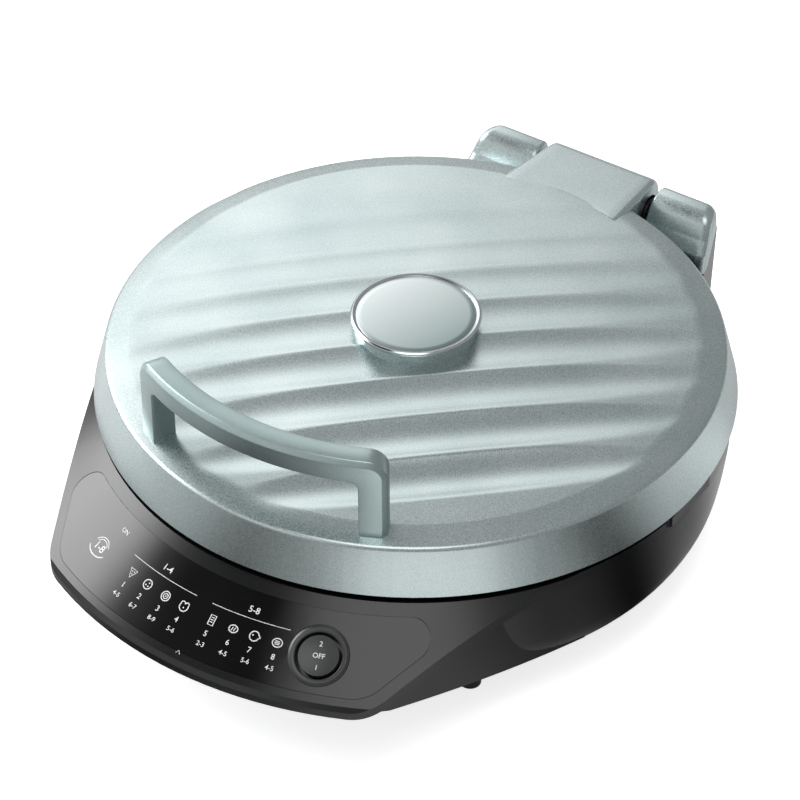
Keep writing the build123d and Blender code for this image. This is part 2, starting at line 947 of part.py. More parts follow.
with BuildPart() as belly_form:
    turned(
        [
            (belly_foot_radius, up(-belly_foot_drop)),
            (belly_chin_radius, up(-belly_chin_drop)),
            (nose_reach, deck_height(nose_reach) - deck_wall),
            (deck_start, rim_height - deck_wall),
            (bowl_rim_radius + seat_gap, rim_height - deck_wall),
            (bowl_rim_radius + seat_gap, rim_seat_height),
            (belly_foot_radius, rim_seat_height),
        ]
    )
    nose_prism(belly_inset, 0, rim_height, Mode.INTERSECT)

with BuildPart() as belly_hollow:
    turned(
        [
            (belly_foot_radius, up(-belly_foot_drop) + housing_wall),
            (belly_chin_radius - housing_wall, up(-belly_chin_drop) + housing_wall),
            (nose_reach - housing_wall, deck_height(nose_reach) - deck_wall + housing_wall),
            (nose_reach - housing_wall, rim_height),
            (belly_foot_radius, rim_height),
        ]
    )
    nose_prism(belly_inset + housing_wall, 0, rim_height, Mode.INTERSECT)

# The film's bed on the deck: the same form cuts the recess and makes the film
def film_form(slack, depth, height):
    """The control film's band: inside the nose's edge, outside a circle, corners rounded."""
    with BuildSketch() as outline:
        add(nose_outline(film_inset - slack))
        Circle(film_inner_radius - slack, mode=Mode.SUBTRACT)
        corners = outline.vertices().group_by(Axis.Y)[-1]
        fillet(corners, film_corner)
    with BuildSketch(level(0)) as placed:
        add(outline.sketch)
    extrude(placed.sketch, amount=rim_height)
    turned(
        [
            (deck_start, rim_height + height),
            (deck_start, rim_height - depth),
            (nose_reach, deck_height(nose_reach) - depth),
            (nose_reach, deck_height(nose_reach) + height),
        ],
        mode=Mode.INTERSECT,
    )


with BuildPart() as film_bed:
    film_form(seat_gap / 2, film_recess, film_thickness)

switch_plane = deck_plane(switch_angle, switch_radius)
lamp_plane = deck_plane(lamp_angle, lamp_radial)

# Upper housing: the rim ring and the control deck, in one moulding
latch_floor = up(-latch_top_drop - latch_bar_depth) - seat_gap
latch_inner = latch_face - latch_bar

with BuildPart() as upper_housing:
    add(deck_form.part)
    add(deck_hollow.part, mode=Mode.SUBTRACT)
    turned(
        [
            (rim_inner_radius, rim_seat_height),
            (bowl_rim_radius, rim_seat_height),
            (bowl_rim_radius, rim_height),
            (flange_radius + seat_gap, rim_height),
            (flange_radius + seat_gap, ledge_height),
            (rim_inner_radius, ledge_height),
        ]
    )
    with BuildSketch(level(0)):
        Circle(rim_inner_radius)
    extrude(amount=far, mode=Mode.SUBTRACT)
    upright_rods([(0, 0)], ledge_height, far, flange_radius + seat_gap, mode=Mode.SUBTRACT)
    add(film_bed.part, mode=Mode.SUBTRACT)
    places = ring_places(rim_screw_ring, ring_screws, 180 / ring_screws)
    upright_rods(
        places,
        rim_seat_height - seat_gap,
        ledge_height + seat_gap,
        screw_radius + running_gap,
        mode=Mode.SUBTRACT,
    )
    upright_rods(
        places,
        ledge_height - screw_head_height - seat_gap,
        ledge_height + seat_gap,
        screw_head_radius + running_gap,
        mode=Mode.SUBTRACT,
    )
    for side in (-1, 1):
        near = side * (latch_inner - seat_gap)
        slab(
            min(near, side * far),
            max(near, side * far),
            -latch_half - seat_gap,
            latch_half + seat_gap,
            latch_floor,
            far,
            mode=Mode.SUBTRACT,
        )
    with BuildSketch(switch_plane.offset(-bezel_depth)):
        Circle(bezel_radius + running_gap)
    extrude(amount=2 * bezel_depth, mode=Mode.SUBTRACT)
    with BuildSketch(lamp_plane.offset(-lamp_collar_depth)):
        Circle(lamp_radius + lamp_collar_wall)
    extrude(amount=lamp_collar_depth - deck_wall / 2)
    with BuildSketch(lamp_plane.offset(-2 * lamp_collar_depth)):
        Circle(lamp_radius + seat_gap)
    extrude(amount=3 * lamp_collar_depth, mode=Mode.SUBTRACT)
finish(upper_housing, "upper_housing")

with BuildPart() as control_film:
    film_form(0, film_recess, film_thickness - film_recess)
    with BuildSketch(switch_plane.offset(-bezel_depth)):
        Circle(bezel_radius + seat_gap)
    extrude(amount=2 * bezel_depth, mode=Mode.SUBTRACT)
finish(control_film, "control_film")

with BuildPart() as power_lamp:
    with BuildSketch(lamp_plane.offset(-lamp_length)):
        Circle(lamp_radius)
    extrude(amount=lamp_length - 2 * film_thickness)
    with BuildSketch(lamp_plane.offset(-lamp_length)):
        Circle(lamp_radius + lamp_collar_wall)
    extrude(amount=lamp_length - lamp_collar_depth)
finish(power_lamp, "power_lamp")

# Switch: bezel, rocker, case and terminals, all square to the deck
switch_axis = Axis(switch_plane.origin, switch_plane.z_dir)
switch_meridian = Plane(origin=switch_plane.origin, x_dir=switch_plane.x_dir, z_dir=-switch_plane.y_dir)

with BuildPart() as switch_bezel:
    with BuildSketch(switch_meridian):
        with BuildLine():
            Polyline(
                (bezel_hole, -bezel_depth),
                (bezel_radius, -bezel_depth),
                (bezel_radius, bezel_lip / 2),
                (bezel_radius - bezel_lip / 2, bezel_lip),
                (bezel_radius - 2 * bezel_lip, bezel_lip),
                (bezel_hole, -bezel_lip),
                close=True,
            )
        make_face()
    revolve(axis=switch_axis)
finish(switch_bezel, "switch_bezel")

pivot_height = -rocker_pivot_depth
ear_gap = running_gap * 4
ear_inside = (rocker_pivot_length / 2) - switch_ear
web_half = ear_inside - ear_gap

dish_radius = (rocker_radius**2 + rocker_dish**2) / (2 * rocker_dish)

with BuildPart() as switch_rocker:
    with BuildSketch(switch_plane.offset(-rocker_depth)):
        Circle(rocker_radius)
    extrude(amount=rocker_depth + rocker_lip)
    with Locations(switch_plane.offset(rocker_lip - rocker_dish + dish_radius)):
        Sphere(dish_radius, mode=Mode.SUBTRACT)
    with BuildSketch(switch_plane.offset(pivot_height - 2 * rocker_pivot_radius)):
        Rectangle(2 * web_half, 4 * rocker_pivot_radius)
    extrude(amount=rocker_pivot_depth - rocker_depth + 2 * rocker_pivot_radius)
    pivot_plane = Plane(origin=switch_plane.origin, x_dir=switch_plane.y_dir, z_dir=switch_plane.x_dir)
    with BuildSketch(pivot_plane):
        with Locations((0, pivot_height)):
            Circle(rocker_pivot_radius)
    extrude(amount=rocker_pivot_length / 2, both=True)
finish(switch_rocker, "switch_rocker")

case_top = -bezel_depth
case_flange = 2.0

with BuildPart() as switch_case:
    with BuildSketch(switch_plane.offset(case_top - case_flange)):
        Circle(bezel_radius - bezel_lip)
    extrude(amount=case_flange)
    with BuildSketch(switch_plane.offset(-switch_case_depth)):
        Rectangle(switch_case_width, switch_case_height)
    extrude(amount=switch_case_depth + case_top)
    with BuildSketch(switch_plane.offset(case_top)):
        with Locations((ear_inside + switch_ear / 2, 0), (-ear_inside - switch_ear / 2, 0)):
            Rectangle(switch_ear, 4 * rocker_pivot_radius)
    extrude(amount=rocker_pivot_depth + case_top + 1.6 * rocker_pivot_radius)
    with BuildSketch(switch_plane.offset(pivot_height - 3 * rocker_pivot_radius)):
        Rectangle(2 * ear_inside, switch_case_height - 2 * case_flange)
    extrude(amount=bezel_depth, mode=Mode.SUBTRACT)
    with BuildSketch(pivot_plane):
        with Locations((0, pivot_height)):
            Circle(rocker_pivot_radius + running_gap)
    extrude(amount=rocker_pivot_length / 2 + running_gap, both=True, mode=Mode.SUBTRACT)
finish(switch_case, "switch_case")

with BuildPart() as switch_terminals:
    with BuildSketch(switch_plane.offset(-switch_case_depth - terminal_length)):
        with GridLocations(switch_case_width / 3, 1, 3, 1):
            Rectangle(terminal_thickness, terminal_width)
    extrude(amount=terminal_length)
finish(switch_terminals, "switch_terminals")

# Hinge ears on the base, and the tower that carries them
ear_top = hinge_rise + ear_height
ear_back = hinge_back + ear_radius
cap_seam_front = ear_back - cap_run
cap_seam_rise = cap_rear_rise - cap_drop


def tower_back(rise):
    """Where the leaning back of the tower is at a rise."""
    return ear_back - tower_lean * (cap_rear_rise - rise)


def ear_prism(inset, low, high, mode=Mode.ADD):
    """Extrude the ear's side outline, a given distance inside its skin, between two places."""
    with BuildSketch(side_view.offset(low)) as outline:
        with BuildLine():
            Polyline(
                (ear_front, up(cap_seam_rise - ear_core_drop)),
                (ear_front, up(-seam_gap)),
                (ear_front + ear_shelf_run, up(ear_shelf)),
                (ear_back - ear_crown, up(ear_top)),
                (ear_back, up(ear_top)),
                (ear_back, up(cap_rear_rise)),
                (tower_back(cap_seam_rise - ear_core_drop), up(cap_seam_rise - ear_core_drop)),
                close=True,
            )
        make_face()
        crowns = outline.vertices().group_by(Axis.Y)[-1]
        fillet(crowns, ear_round)
        if inset:
            offset(amount=-inset)
    extrude(outline.sketch, amount=high - low, mode=mode)


def trim_flanks(inset):
    """Cut away what lies outside the ears' flanks, which spread towards the front."""
    for side in (-1, 1):
        with BuildSketch(level(0)) as outline:
            with BuildLine():
                Polyline(
                    (side * (ear_outer - inset), far),
                    (side * (ear_outer - inset), ear_back),
                    (side * (ear_outer + ear_flare - inset), tower_root - inset),
                    (side * far, tower_root - inset),
                    (side * far, far),
                    close=True,
                )
            make_face()
        extrude(outline.sketch, amount=far, mode=Mode.SUBTRACT)


flank_reach = ear_outer + ear_flare
slot_half = pin_radius + seat_gap
core_inset = cap_wall + seat_gap


def pin_slot(low, high):
    """Cut the upright slot in which the pin rises."""
    side_prism(
        [
            (hinge_back - slot_half, hinge_height - slot_half),
            (hinge_back + slot_half, hinge_height - slot_half),
            (hinge_back + slot_half, hinge_height + float_travel + slot_half),
            (hinge_back - slot_half, hinge_height + float_travel + slot_half),
        ],
        (high - low) / 2,
        mode=Mode.SUBTRACT,
        middle=(high + low) / 2,
    )


for side, name in ((-1, "ear_cap_left"), (1, "ear_cap_right")):
    low = min(side * ear_inner, side * flank_reach)
    high = max(side * ear_inner, side * flank_reach)
    with BuildPart() as ear_hollow:
        ear_prism(cap_wall, low + cap_wall, high - cap_wall)
        trim_flanks(cap_wall)
        upright_rods([(0, 0)], 0, far, lid_radius + ear_lid_gap + cap_wall, mode=Mode.SUBTRACT)
    with BuildPart() as ear_cap:
        ear_prism(0, low, high)
        trim_flanks(0)
        side_prism(
            [
                (0, 0),
                (0, up(cap_seam_rise)),
                (cap_seam_front, up(cap_seam_rise)),
                (ear_back, up(cap_rear_rise)),
                (far, up(cap_rear_rise)),
                (far, 0),
            ],
            far,
            mode=Mode.SUBTRACT,
        )
        upright_rods([(0, 0)], 0, far, lid_radius + ear_lid_gap, mode=Mode.SUBTRACT)
        add(ear_hollow.part, mode=Mode.SUBTRACT)
        pin_slot(
            min(side * ear_inner, side * slide_inner) - seat_gap,
            max(side * ear_inner, side * slide_inner),
        )
    finish(ear_cap, name)

# Hinge pin and the slides that guide it up and down in the ears
with BuildPart() as hinge_pin:
    cross_rod(-slide_outer + pin_end_gap, slide_outer - pin_end_gap, hinge_back, hinge_height, pin_radius)
finish(hinge_pin, "hinge_pin")

with BuildPart() as hinge_slides:
    for side in (-1, 1):
        side_prism(
            [
                (hinge_back - slide_half_width, hinge_height - slide_half_height),
                (hinge_back + slide_half_width, hinge_height - slide_half_height),
                (hinge_back + slide_half_width, hinge_height + slide_half_height),
                (hinge_back - slide_half_width, hinge_height + slide_half_height),
            ],
            (slide_outer - slide_inner) / 2,
            middle=side * (slide_outer + slide_inner) / 2,
        )
    cross_rod(
        -slide_outer + pin_end_gap - seat_gap,
        slide_outer - pin_end_gap + seat_gap,
        hinge_back,
        hinge_height,
        pin_radius + running_gap,
        mode=Mode.SUBTRACT,
    )
finish(hinge_slides, "hinge_slides")

# Lower housing: bowl, hinge tower and belly in one moulding
round_back = block_back - block_round
round_rise = block_rise - hinge_rise - block_round
block_sweep = sqrt(round_back**2 + round_rise**2) + block_round
bay_radius = block_sweep + bay_gap
rim_places = ring_places(rim_screw_ring, ring_screws, 180 / ring_screws)
foot_places = ring_places(foot_ring, 4, 45)
boss_bottom = rim_seat_height - boss_drop
cover_screw_ring = cover_radius + cover_gap - cover_ledge / 2
cover_screw_places = ring_places(cover_screw_ring, 4, 45)
inlet_height = up(-inlet_drop)
ledge_bottom = bowl_floor_height + housing_wall
ledge_inner = cover_radius + cover_gap - cover_ledge
ledge_outer = cover_radius + cover_gap + cover_rim


def tower_outline(inset):
    """The tower from the side as (distance behind the pan axis, height) points."""
    return [
        (tower_root - inset, up(tower_root_rise) + inset),
        (tower_back(tower_foot_rise) - inset, up(tower_foot_rise) + inset),
        (ear_back - inset, up(cap_rear_rise) - inset),
        (cap_seam_front - inset, up(cap_seam_rise) - inset),
        (tower_root - inset, up(cap_seam_rise) - inset),
    ]


with BuildPart() as rim_bosses:
    upright_rods(rim_places, boss_bottom, rim_seat_height, boss_radius)
    with BuildSketch(level(boss_bottom)):
        with PolarLocations(rim_screw_ring, ring_screws, start_angle=180 / ring_screws):
            Rectangle(bowl_rim_radius - rim_screw_ring, boss_rib, align=(Align.MIN, Align.CENTER))
    extrude(amount=rim_seat_height - boss_bottom)
    revolve(bowl_form(housing_wall / 2, rim_seat_height), axis=pan_axis, mode=Mode.INTERSECT)

with BuildPart() as bay_wall:
    side_prism(tower_outline(0), ear_inner + housing_wall)
    with BuildSketch(side_view.offset(-ear_outer)) as bay_round:
        with Locations((hinge_back, hinge_height)):
            Circle(bay_radius + housing_wall)
    extrude(bay_round.sketch, amount=2 * ear_outer, mode=Mode.INTERSECT)


def inlet_face(back):
    """An upright plane at a distance behind the pan axis, square to the inlet."""
    return Plane(origin=(0, pan_y + back, inlet_height), x_dir=(1, 0, 0), z_dir=(0, 1, 0))


def inlet_block(grow, start, end, mode=Mode.ADD):
    """A rounded block round the inlet's middle, between two distances behind the pan axis."""
    with BuildSketch(inlet_face(start)) as outline:
        Rectangle(2 * (inlet_half_width + grow), 2 * (inlet_half_height + grow))
        fillet(outline.vertices().group_by(Axis.Z)[-1], inlet_corner)
    extrude(outline.sketch, amount=end - start, mode=mode)


with BuildPart() as tower_hollow:
    side_prism(tower_outline(housing_wall), flank_reach)
    trim_flanks(housing_wall)

with BuildPart() as lower_housing:
    side_prism(tower_outline(0), flank_reach)
    trim_flanks(0)
    add(tower_hollow.part, mode=Mode.SUBTRACT)
    add(bay_wall.part)
    for side in (-1, 1):
        low = min(side * ear_inner, side * ear_outer)
        high = max(side * ear_inner, side * ear_outer)
        ear_prism(core_inset, low + core_inset, high - core_inset)
    inlet_block(inlet_pad_margin, inlet_pad - inlet_pad_depth, inlet_pad)
    inlet_block(running_gap, inlet_pad - inlet_pad_depth, inlet_pad, mode=Mode.SUBTRACT)
    add(belly_form.part)
    add(belly_hollow.part, mode=Mode.SUBTRACT)
    revolve(bowl_form(0, rim_seat_height), axis=pan_axis)
    upright_rods([(0, 0)], rim_seat_height, far, bowl_rim_radius + seat_gap, mode=Mode.SUBTRACT)
    upright_rods([(0, 0)], up(cap_seam_rise), far, lid_radius + ear_lid_gap + core_inset, mode=Mode.SUBTRACT)
    revolve(bowl_form(housing_wall, far), axis=pan_axis, mode=Mode.SUBTRACT)
    cross_rod(-ear_inner, ear_inner, hinge_back, hinge_height, bay_radius, mode=Mode.SUBTRACT)
    for side in (-1, 1):
        side_prism(
            [
                (hinge_back - slide_half_width - seat_gap, hinge_height - slide_half_height - seat_gap),
                (hinge_back + slide_half_width + seat_gap, hinge_height - slide_half_height - seat_gap),
                (hinge_back + slide_half_width + seat_gap, far),
                (hinge_back - slide_half_width - seat_gap, far),
            ],
            (slide_outer - slide_inner) / 2 + seat_gap,
            mode=Mode.SUBTRACT,
            middle=side * (slide_outer + slide_inner) / 2,
        )
        pin_slot(min(side * ear_inner, side * slide_inner), max(side * ear_inner, side * slide_inner))
    for near, end in ((-bowl_rim_radius, -tower_root), (tower_root, bowl_rim_radius)):
        slab(-window_half, window_half, near, end, up(window_low), up(window_high), mode=Mode.SUBTRACT)
    with BuildSketch(switch_plane.offset(-2 * bezel_depth)):
        Circle(bezel_radius + seat_gap)
    extrude(amount=2 * bezel_depth, mode=Mode.SUBTRACT)
    add(rim_bosses.part)
    upright_rods(rim_places, boss_bottom + boss_radius, far, screw_radius + running_gap, mode=Mode.SUBTRACT)
    upright_rods([(0, 0)], 0, ledge_bottom, cover_radius + cover_gap, mode=Mode.SUBTRACT)
    turned(
        [
            (ledge_inner, ledge_bottom),
            (ledge_outer, ledge_bottom),
            (ledge_outer, ledge_bottom + housing_wall),
            (ledge_inner, ledge_bottom + housing_wall),
        ]
    )
    upright_rods(cover_screw_places, ledge_bottom, ledge_bottom + screw_length, boss_radius)
    upright_rods(
        cover_screw_places,
        0,
        ledge_bottom + screw_length - housing_wall,
        screw_radius + running_gap,
        mode=Mode.SUBTRACT,
    )
    upright_rods(foot_places, foot_height, foot_height + foot_boss_height, foot_boss_radius)
    upright_rods(
        foot_places,
        0,
        foot_height + screw_length - housing_wall,
        screw_radius + running_gap,
        mode=Mode.SUBTRACT,
    )
    slab(
        -block_length / 2,
        block_length / 2,
        block_place - block_width / 2,
        block_place + block_width / 2,
        ledge_bottom,
        ledge_bottom + housing_wall,
    )
finish(lower_housing, "lower_housing")

with BuildPart() as housing_screws:
    upright_rods(
        rim_places,
        ledge_height - screw_head_height - seat_gap - screw_length,
        ledge_height - seat_gap,
        screw_radius,
    )
    upright_rods(
        rim_places,
        ledge_height - screw_head_height - seat_gap,
        ledge_height - seat_gap,
        screw_head_radius,
    )
finish(housing_screws, "housing_screws")

# Underside: cover, feet and their screws
with BuildPart() as bottom_cover:
    upright_rods([(0, 0)], bowl_floor_height, ledge_bottom, cover_radius)
    with BuildSketch(level(bowl_floor_height)):
        with GridLocations(1, vent_pitch, 1, vent_count):
            SlotOverall(vent_length, vent_width)
    extrude(amount=housing_wall, mode=Mode.SUBTRACT)
    upright_rods(cover_screw_places, 0, far, screw_radius + running_gap, mode=Mode.SUBTRACT)
    upright_rods(
        cover_screw_places,
        0,
        bowl_floor_height + screw_head_height,
        screw_head_radius + seat_gap,
        mode=Mode.SUBTRACT,
    )
finish(bottom_cover, "bottom_cover")

with BuildPart() as bottom_cover_screws:
    cover_head_top = bowl_floor_height + screw_head_height
    upright_rods(cover_screw_places, bowl_floor_height, cover_head_top, screw_head_radius)
    upright_rods(
        cover_screw_places, cover_head_top, ledge_bottom + screw_length - 2 * housing_wall, screw_radius
    )
finish(bottom_cover_screws, "bottom_cover_screws")

with BuildPart() as rubber_feet:
    upright_rods(foot_places, 0, foot_height, foot_radius)
    upright_rods(foot_places, 0, foot_recess_depth, foot_recess, mode=Mode.SUBTRACT)
    upright_rods(foot_places, 0, foot_height, foot_bore, mode=Mode.SUBTRACT)
finish(rubber_feet, "rubber_feet")

with BuildPart() as foot_screws:
    upright_rods(foot_places, foot_recess_depth - screw_head_height, foot_recess_depth, screw_head_radius)
    upright_rods(foot_places, foot_recess_depth, foot_recess_depth + screw_length, screw_radius)
finish(foot_screws, "foot_screws")

# Lower plate: the pan that food lies in
lower_floor_top = up(-lower_floor_drop)
lower_floor_bottom = lower_floor_top - plate_thickness
lower_flange_bottom = rim_height - flange_thickness

with BuildPart() as lower_grill_plate:
    turned(
        [
            (0, lower_floor_bottom),
            (lower_floor_radius + plate_thickness, lower_floor_bottom),
            (lower_mouth_radius + plate_thickness, lower_flange_bottom),
            (flange_radius, lower_flange_bottom),
            (flange_radius, rim_height),
            (lower_mouth_radius, rim_height),
            (lower_floor_radius, lower_floor_top),
            (0, lower_floor_top),
        ]
    )
finish(lower_grill_plate, "lower_grill_plate")

# Lower heater: clips, tube, reflector, thermostat and fuse stacked under the pan
lower_clip_crown = lower_floor_bottom - seat_gap
lower_tube_height = lower_clip_crown - clip_thickness - tube_radius
lower_shield_floor = lower_tube_height - tube_radius - seat_gap - shield_thickness

with BuildPart() as lower_heat_shield:
    shield(
        lower_shield_floor,
        rim_seat_height - shield_thickness,
        lower_floor_radius + plate_thickness + shield_side_gap,
        lower_mouth_radius + plate_thickness + shield_side_gap,
        lower_mouth_radius + plate_thickness + shield_side_gap + shield_rim_width,
    )
    upright_rods(tail_places(), 0, lower_tube_height, tube_radius + seat_gap, mode=Mode.SUBTRACT)
finish(lower_heat_shield, "lower_heat_shield")

with BuildPart() as lower_heating_element:
    heater_tube(lower_tube_height, lower_tube_height - tube_tail)
finish(lower_heating_element, "lower_heating_element")

with BuildPart() as lower_element_clips:
    element_clips(lower_shield_floor + shield_thickness, lower_clip_crown)
finish(lower_element_clips, "lower_element_clips")

with BuildPart() as lower_thermostat:
    upright_rods([(0, 0)], lower_shield_floor - thermostat_cap, lower_clip_crown, thermostat_radius)
    upright_rods(
        [(0, 0)], lower_shield_floor - thermostat_flange_thickness, lower_shield_floor, thermostat_flange
    )
finish(lower_thermostat, "lower_thermostat")

with BuildPart() as thermal_fuse:
    cross_rod(
        -fuse_length / 2,
        fuse_length / 2,
        fuse_place,
        lower_shield_floor - fuse_radius - seat_gap,
        fuse_radius,
    )
finish(thermal_fuse, "thermal_fuse")

# Lower latches: straps at the sides that slide outwards off the pan's flange
latch_top = up(-latch_top_drop)
latch_bottom = latch_top - latch_bar_depth

for side, name in ((-1, "lower_latch_left"), (1, "lower_latch_right")):
    face = side * latch_face
    inner = side * latch_inner
    nose = side * (flange_radius - latch_grip)
    with BuildPart() as lower_latch:
        slab(min(face, inner), max(face, inner), -latch_half, latch_half, latch_bottom, latch_top)
        outer_edges = lower_latch.edges().filter_by(Axis.Z).sort_by(Axis.X, reverse=side > 0)[:2]
        fillet(outer_edges, latch_end_round)
        slab(
            min(nose, inner),
            max(nose, inner),
            -latch_nose_half,
            latch_nose_half,
            rim_height + seat_gap,
            latch_top,
        )
    finish(lower_latch, name)

# Mains inlet on the back of the tower
with BuildPart() as power_inlet:
    inlet_block(inlet_flange_margin, inlet_pad, inlet_pad + inlet_flange)
    inlet_block(0, inlet_pad + inlet_flange - inlet_length, inlet_pad)
    inlet_block(
        -inlet_wall,
        inlet_pad + inlet_flange - inlet_socket_depth,
        inlet_pad + inlet_flange,
        mode=Mode.SUBTRACT,
    )
    blade_places = [(-blade_pitch, blade_offset), (0, -blade_offset), (blade_pitch, blade_offset)]
    blade_root = inlet_pad + inlet_flange - inlet_length - blade_tail
    with BuildSketch(inlet_face(blade_root)) as blade_holes:
        with Locations(*blade_places):
            Rectangle(blade_width + 2 * running_gap, blade_height + 2 * running_gap)
    extrude(blade_holes.sketch, amount=inlet_length, mode=Mode.SUBTRACT)
finish(power_inlet, "power_inlet")

with BuildPart() as inlet_pins:
    blade_end = inlet_pad + inlet_flange - inlet_socket_depth + blade_length
    with BuildSketch(inlet_face(blade_root)) as blades:
        with Locations(*blade_places):
            Rectangle(blade_width, blade_height)
    extrude(blades.sketch, amount=blade_end - blade_root)
finish(inlet_pins, "inlet_pins")

# Terminal block and leads on the bowl's floor
with BuildPart() as terminal_block:
    block_foot = ledge_bottom + housing_wall
    slab(
        -block_length / 2,
        block_length / 2,
        block_place - block_width / 2,
        block_place + block_width / 2,
        block_foot,
        block_foot + block_height,
    )
    terminal_places = [
        (column * block_length / 3, block_place + row * block_width / 4)
        for column in (-1, 0, 1)
        for row in (-1, 1)
    ]
    upright_rods(terminal_places, block_foot + block_height / 2, far, terminal_bore, mode=Mode.SUBTRACT)
finish(terminal_block, "terminal_block")

with BuildPart() as base_leads:
    for number in range(lead_count):
        with BuildSketch(meridian_at(lead_start)) as section:
            with Locations((lead_ring + number * lead_pitch, ledge_bottom + lead_radius + seat_gap)):
                Circle(lead_radius)
        revolve(section.sketch, axis=pan_axis, revolution_arc=lead_arc)
finish(base_leads, "base_leads")
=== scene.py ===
# %% [markdown]
# # An electric baking pan
# The object is a countertop cooker: a round black base with a sloping control nose, and a
# silver lid with soft ripples, hinged at the back. The CAD model comes in as a fixed frame in
# metres. Every piece made here sits on that frame and rides on one of its bodies, so that the
# looks can never drift away from the construction.

# %% Load the fixed frame
from math import atan2, cos, hypot, pi, radians, sin, sqrt, tan

import bmesh
import bpy
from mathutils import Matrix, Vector
from mathutils.bvhtree import BVHTree


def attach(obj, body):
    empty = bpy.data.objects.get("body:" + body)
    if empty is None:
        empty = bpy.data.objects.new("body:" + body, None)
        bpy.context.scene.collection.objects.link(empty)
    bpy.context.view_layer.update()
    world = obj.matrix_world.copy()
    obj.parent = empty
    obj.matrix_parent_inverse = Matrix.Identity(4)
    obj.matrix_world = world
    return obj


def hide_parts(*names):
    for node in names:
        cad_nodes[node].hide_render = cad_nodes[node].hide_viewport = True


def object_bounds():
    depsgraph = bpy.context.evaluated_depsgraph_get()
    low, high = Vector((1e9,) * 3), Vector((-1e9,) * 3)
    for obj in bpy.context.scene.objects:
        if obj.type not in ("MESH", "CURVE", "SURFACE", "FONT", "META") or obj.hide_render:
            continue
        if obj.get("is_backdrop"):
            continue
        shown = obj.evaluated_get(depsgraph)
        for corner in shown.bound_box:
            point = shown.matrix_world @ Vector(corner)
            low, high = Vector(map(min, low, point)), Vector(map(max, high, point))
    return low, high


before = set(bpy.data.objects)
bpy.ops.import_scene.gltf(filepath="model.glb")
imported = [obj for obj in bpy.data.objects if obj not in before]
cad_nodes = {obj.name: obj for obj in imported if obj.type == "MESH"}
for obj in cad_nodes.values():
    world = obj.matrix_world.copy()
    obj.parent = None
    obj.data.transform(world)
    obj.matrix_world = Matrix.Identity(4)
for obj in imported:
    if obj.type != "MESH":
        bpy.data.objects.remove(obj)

cad_low, cad_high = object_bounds()
print("CAD nodes:", len(cad_nodes), "box in mm:", [round(side * 1000, 1) for side in cad_high - cad_low])

# %% [markdown]
# ## Sizes shared by several pieces
# A real lid and base are measured from one axis, the upright line through the middle of the
# cooking plates, and from the lid's lower edge. The same two datums are used here, in
# millimetres, so that each number can be read on a drawing of the object.

# %% Datums in millimetres
MM = 0.001
PAN_Y = 10.25
LID_EDGE = 88.0
DECK_SLOPE = radians(33.7)
DECK_START = 169.0
DECK_TOP = -4.0


def at(x, y, rise):
    """A point measured from the pan axis and the lid's edge, in the frame's metres."""
    return Vector((x * MM, (y + PAN_Y) * MM, (rise + LID_EDGE) * MM))


def ring(radius, angle, rise):
    """A point on a circle round the pan axis. Angle 0 is the right-hand side, counted towards the back."""
    return (radius * cos(angle), radius * sin(angle), rise)


# %% [markdown]
# ## Mesh helpers
# A few small helpers are enough for the whole object. One turns points and faces into a piece
# that rides on a body. One rounds the corners of an outline, because no moulded edge is sharp.
# One turns an outline round an upright axis, as a potter's wheel does, and closes the poles. One
# joins outlines that stand in a row, as the frames of a boat are planked. All of them close the
# space between two rows of points in the same way.

# %% Make a piece from points and faces
SAME_PLACE = 0.01 * MM


def in_scene(name, data):
    """A new object with its data, linked to the scene."""
    made = bpy.data.objects.new(name, data)
    bpy.context.scene.collection.objects.link(made)
    return made


def make_piece(name, parts, finish, body, stands_for=(), slot=None, smooth=35, place=at):
    """Joins lists of (points, faces) into one closed piece, smooth where faces meet at a shallow angle."""
    points, faces = [], []
    for part_points, part_faces in parts:
        start = len(points)
        points += [place(*point) for point in part_points]
        faces += [[start + index for index in face] for face in part_faces]
    mesh = bpy.data.meshes.new(name)
    mesh.from_pydata(points, [], faces)
    form = bmesh.new()
    form.from_mesh(mesh)
    bmesh.ops.remove_doubles(form, verts=form.verts, dist=SAME_PLACE)
    bmesh.ops.recalc_face_normals(form, faces=form.faces)
    form.to_mesh(mesh)
    form.free()
    mesh.shade_smooth()
    mesh.set_sharp_from_angle(angle=radians(smooth))
    mesh.materials.append(finish)
    piece = in_scene(name, mesh)
    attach(piece, body)
    if stands_for:
        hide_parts(*stands_for)
    print(name, "faces:", len(mesh.polygons))


# %% Round the corners of an outline, turn it, or join a row of outlines
def rounded(outline, steps=5):
    """An outline of (x, y, radius) corners as plain points, each corner with its arc."""
    smooth = []
    for index, (x, y, radius) in enumerate(outline):
        before = Vector(outline[index - 1][:2])
        after = Vector(outline[(index + 1) % len(outline)][:2])
        corner = Vector((x, y))
        if not radius:
            smooth.append((x, y))
            continue
        back = (before - corner).normalized()
        on = (after - corner).normalized()
        half = back.angle(on) / 2
        middle = corner + (back + on).normalized() * radius / sin(half)
        start = corner + back * radius / tan(half) - middle
        end = corner + on * radius / tan(half) - middle
        turn = start.angle_signed(end)
        for step in range(steps + 1):
            share = -turn * step / steps
            smooth.append((
                middle.x + start.x * cos(share) - start.y * sin(share),
                middle.y + start.x * sin(share) + start.y * cos(share),
            ))
    return smooth


def band(low, high, closed=True):
    """Faces between two rows of point numbers. Where a row stays on one point, they are triangles."""
    after = list(range(1, len(low))) + ([0] if closed else [])
    corners = [(low[step], low[other], high[other], high[step]) for step, other in enumerate(after)]
    return [list(dict.fromkeys(face)) for face in corners]


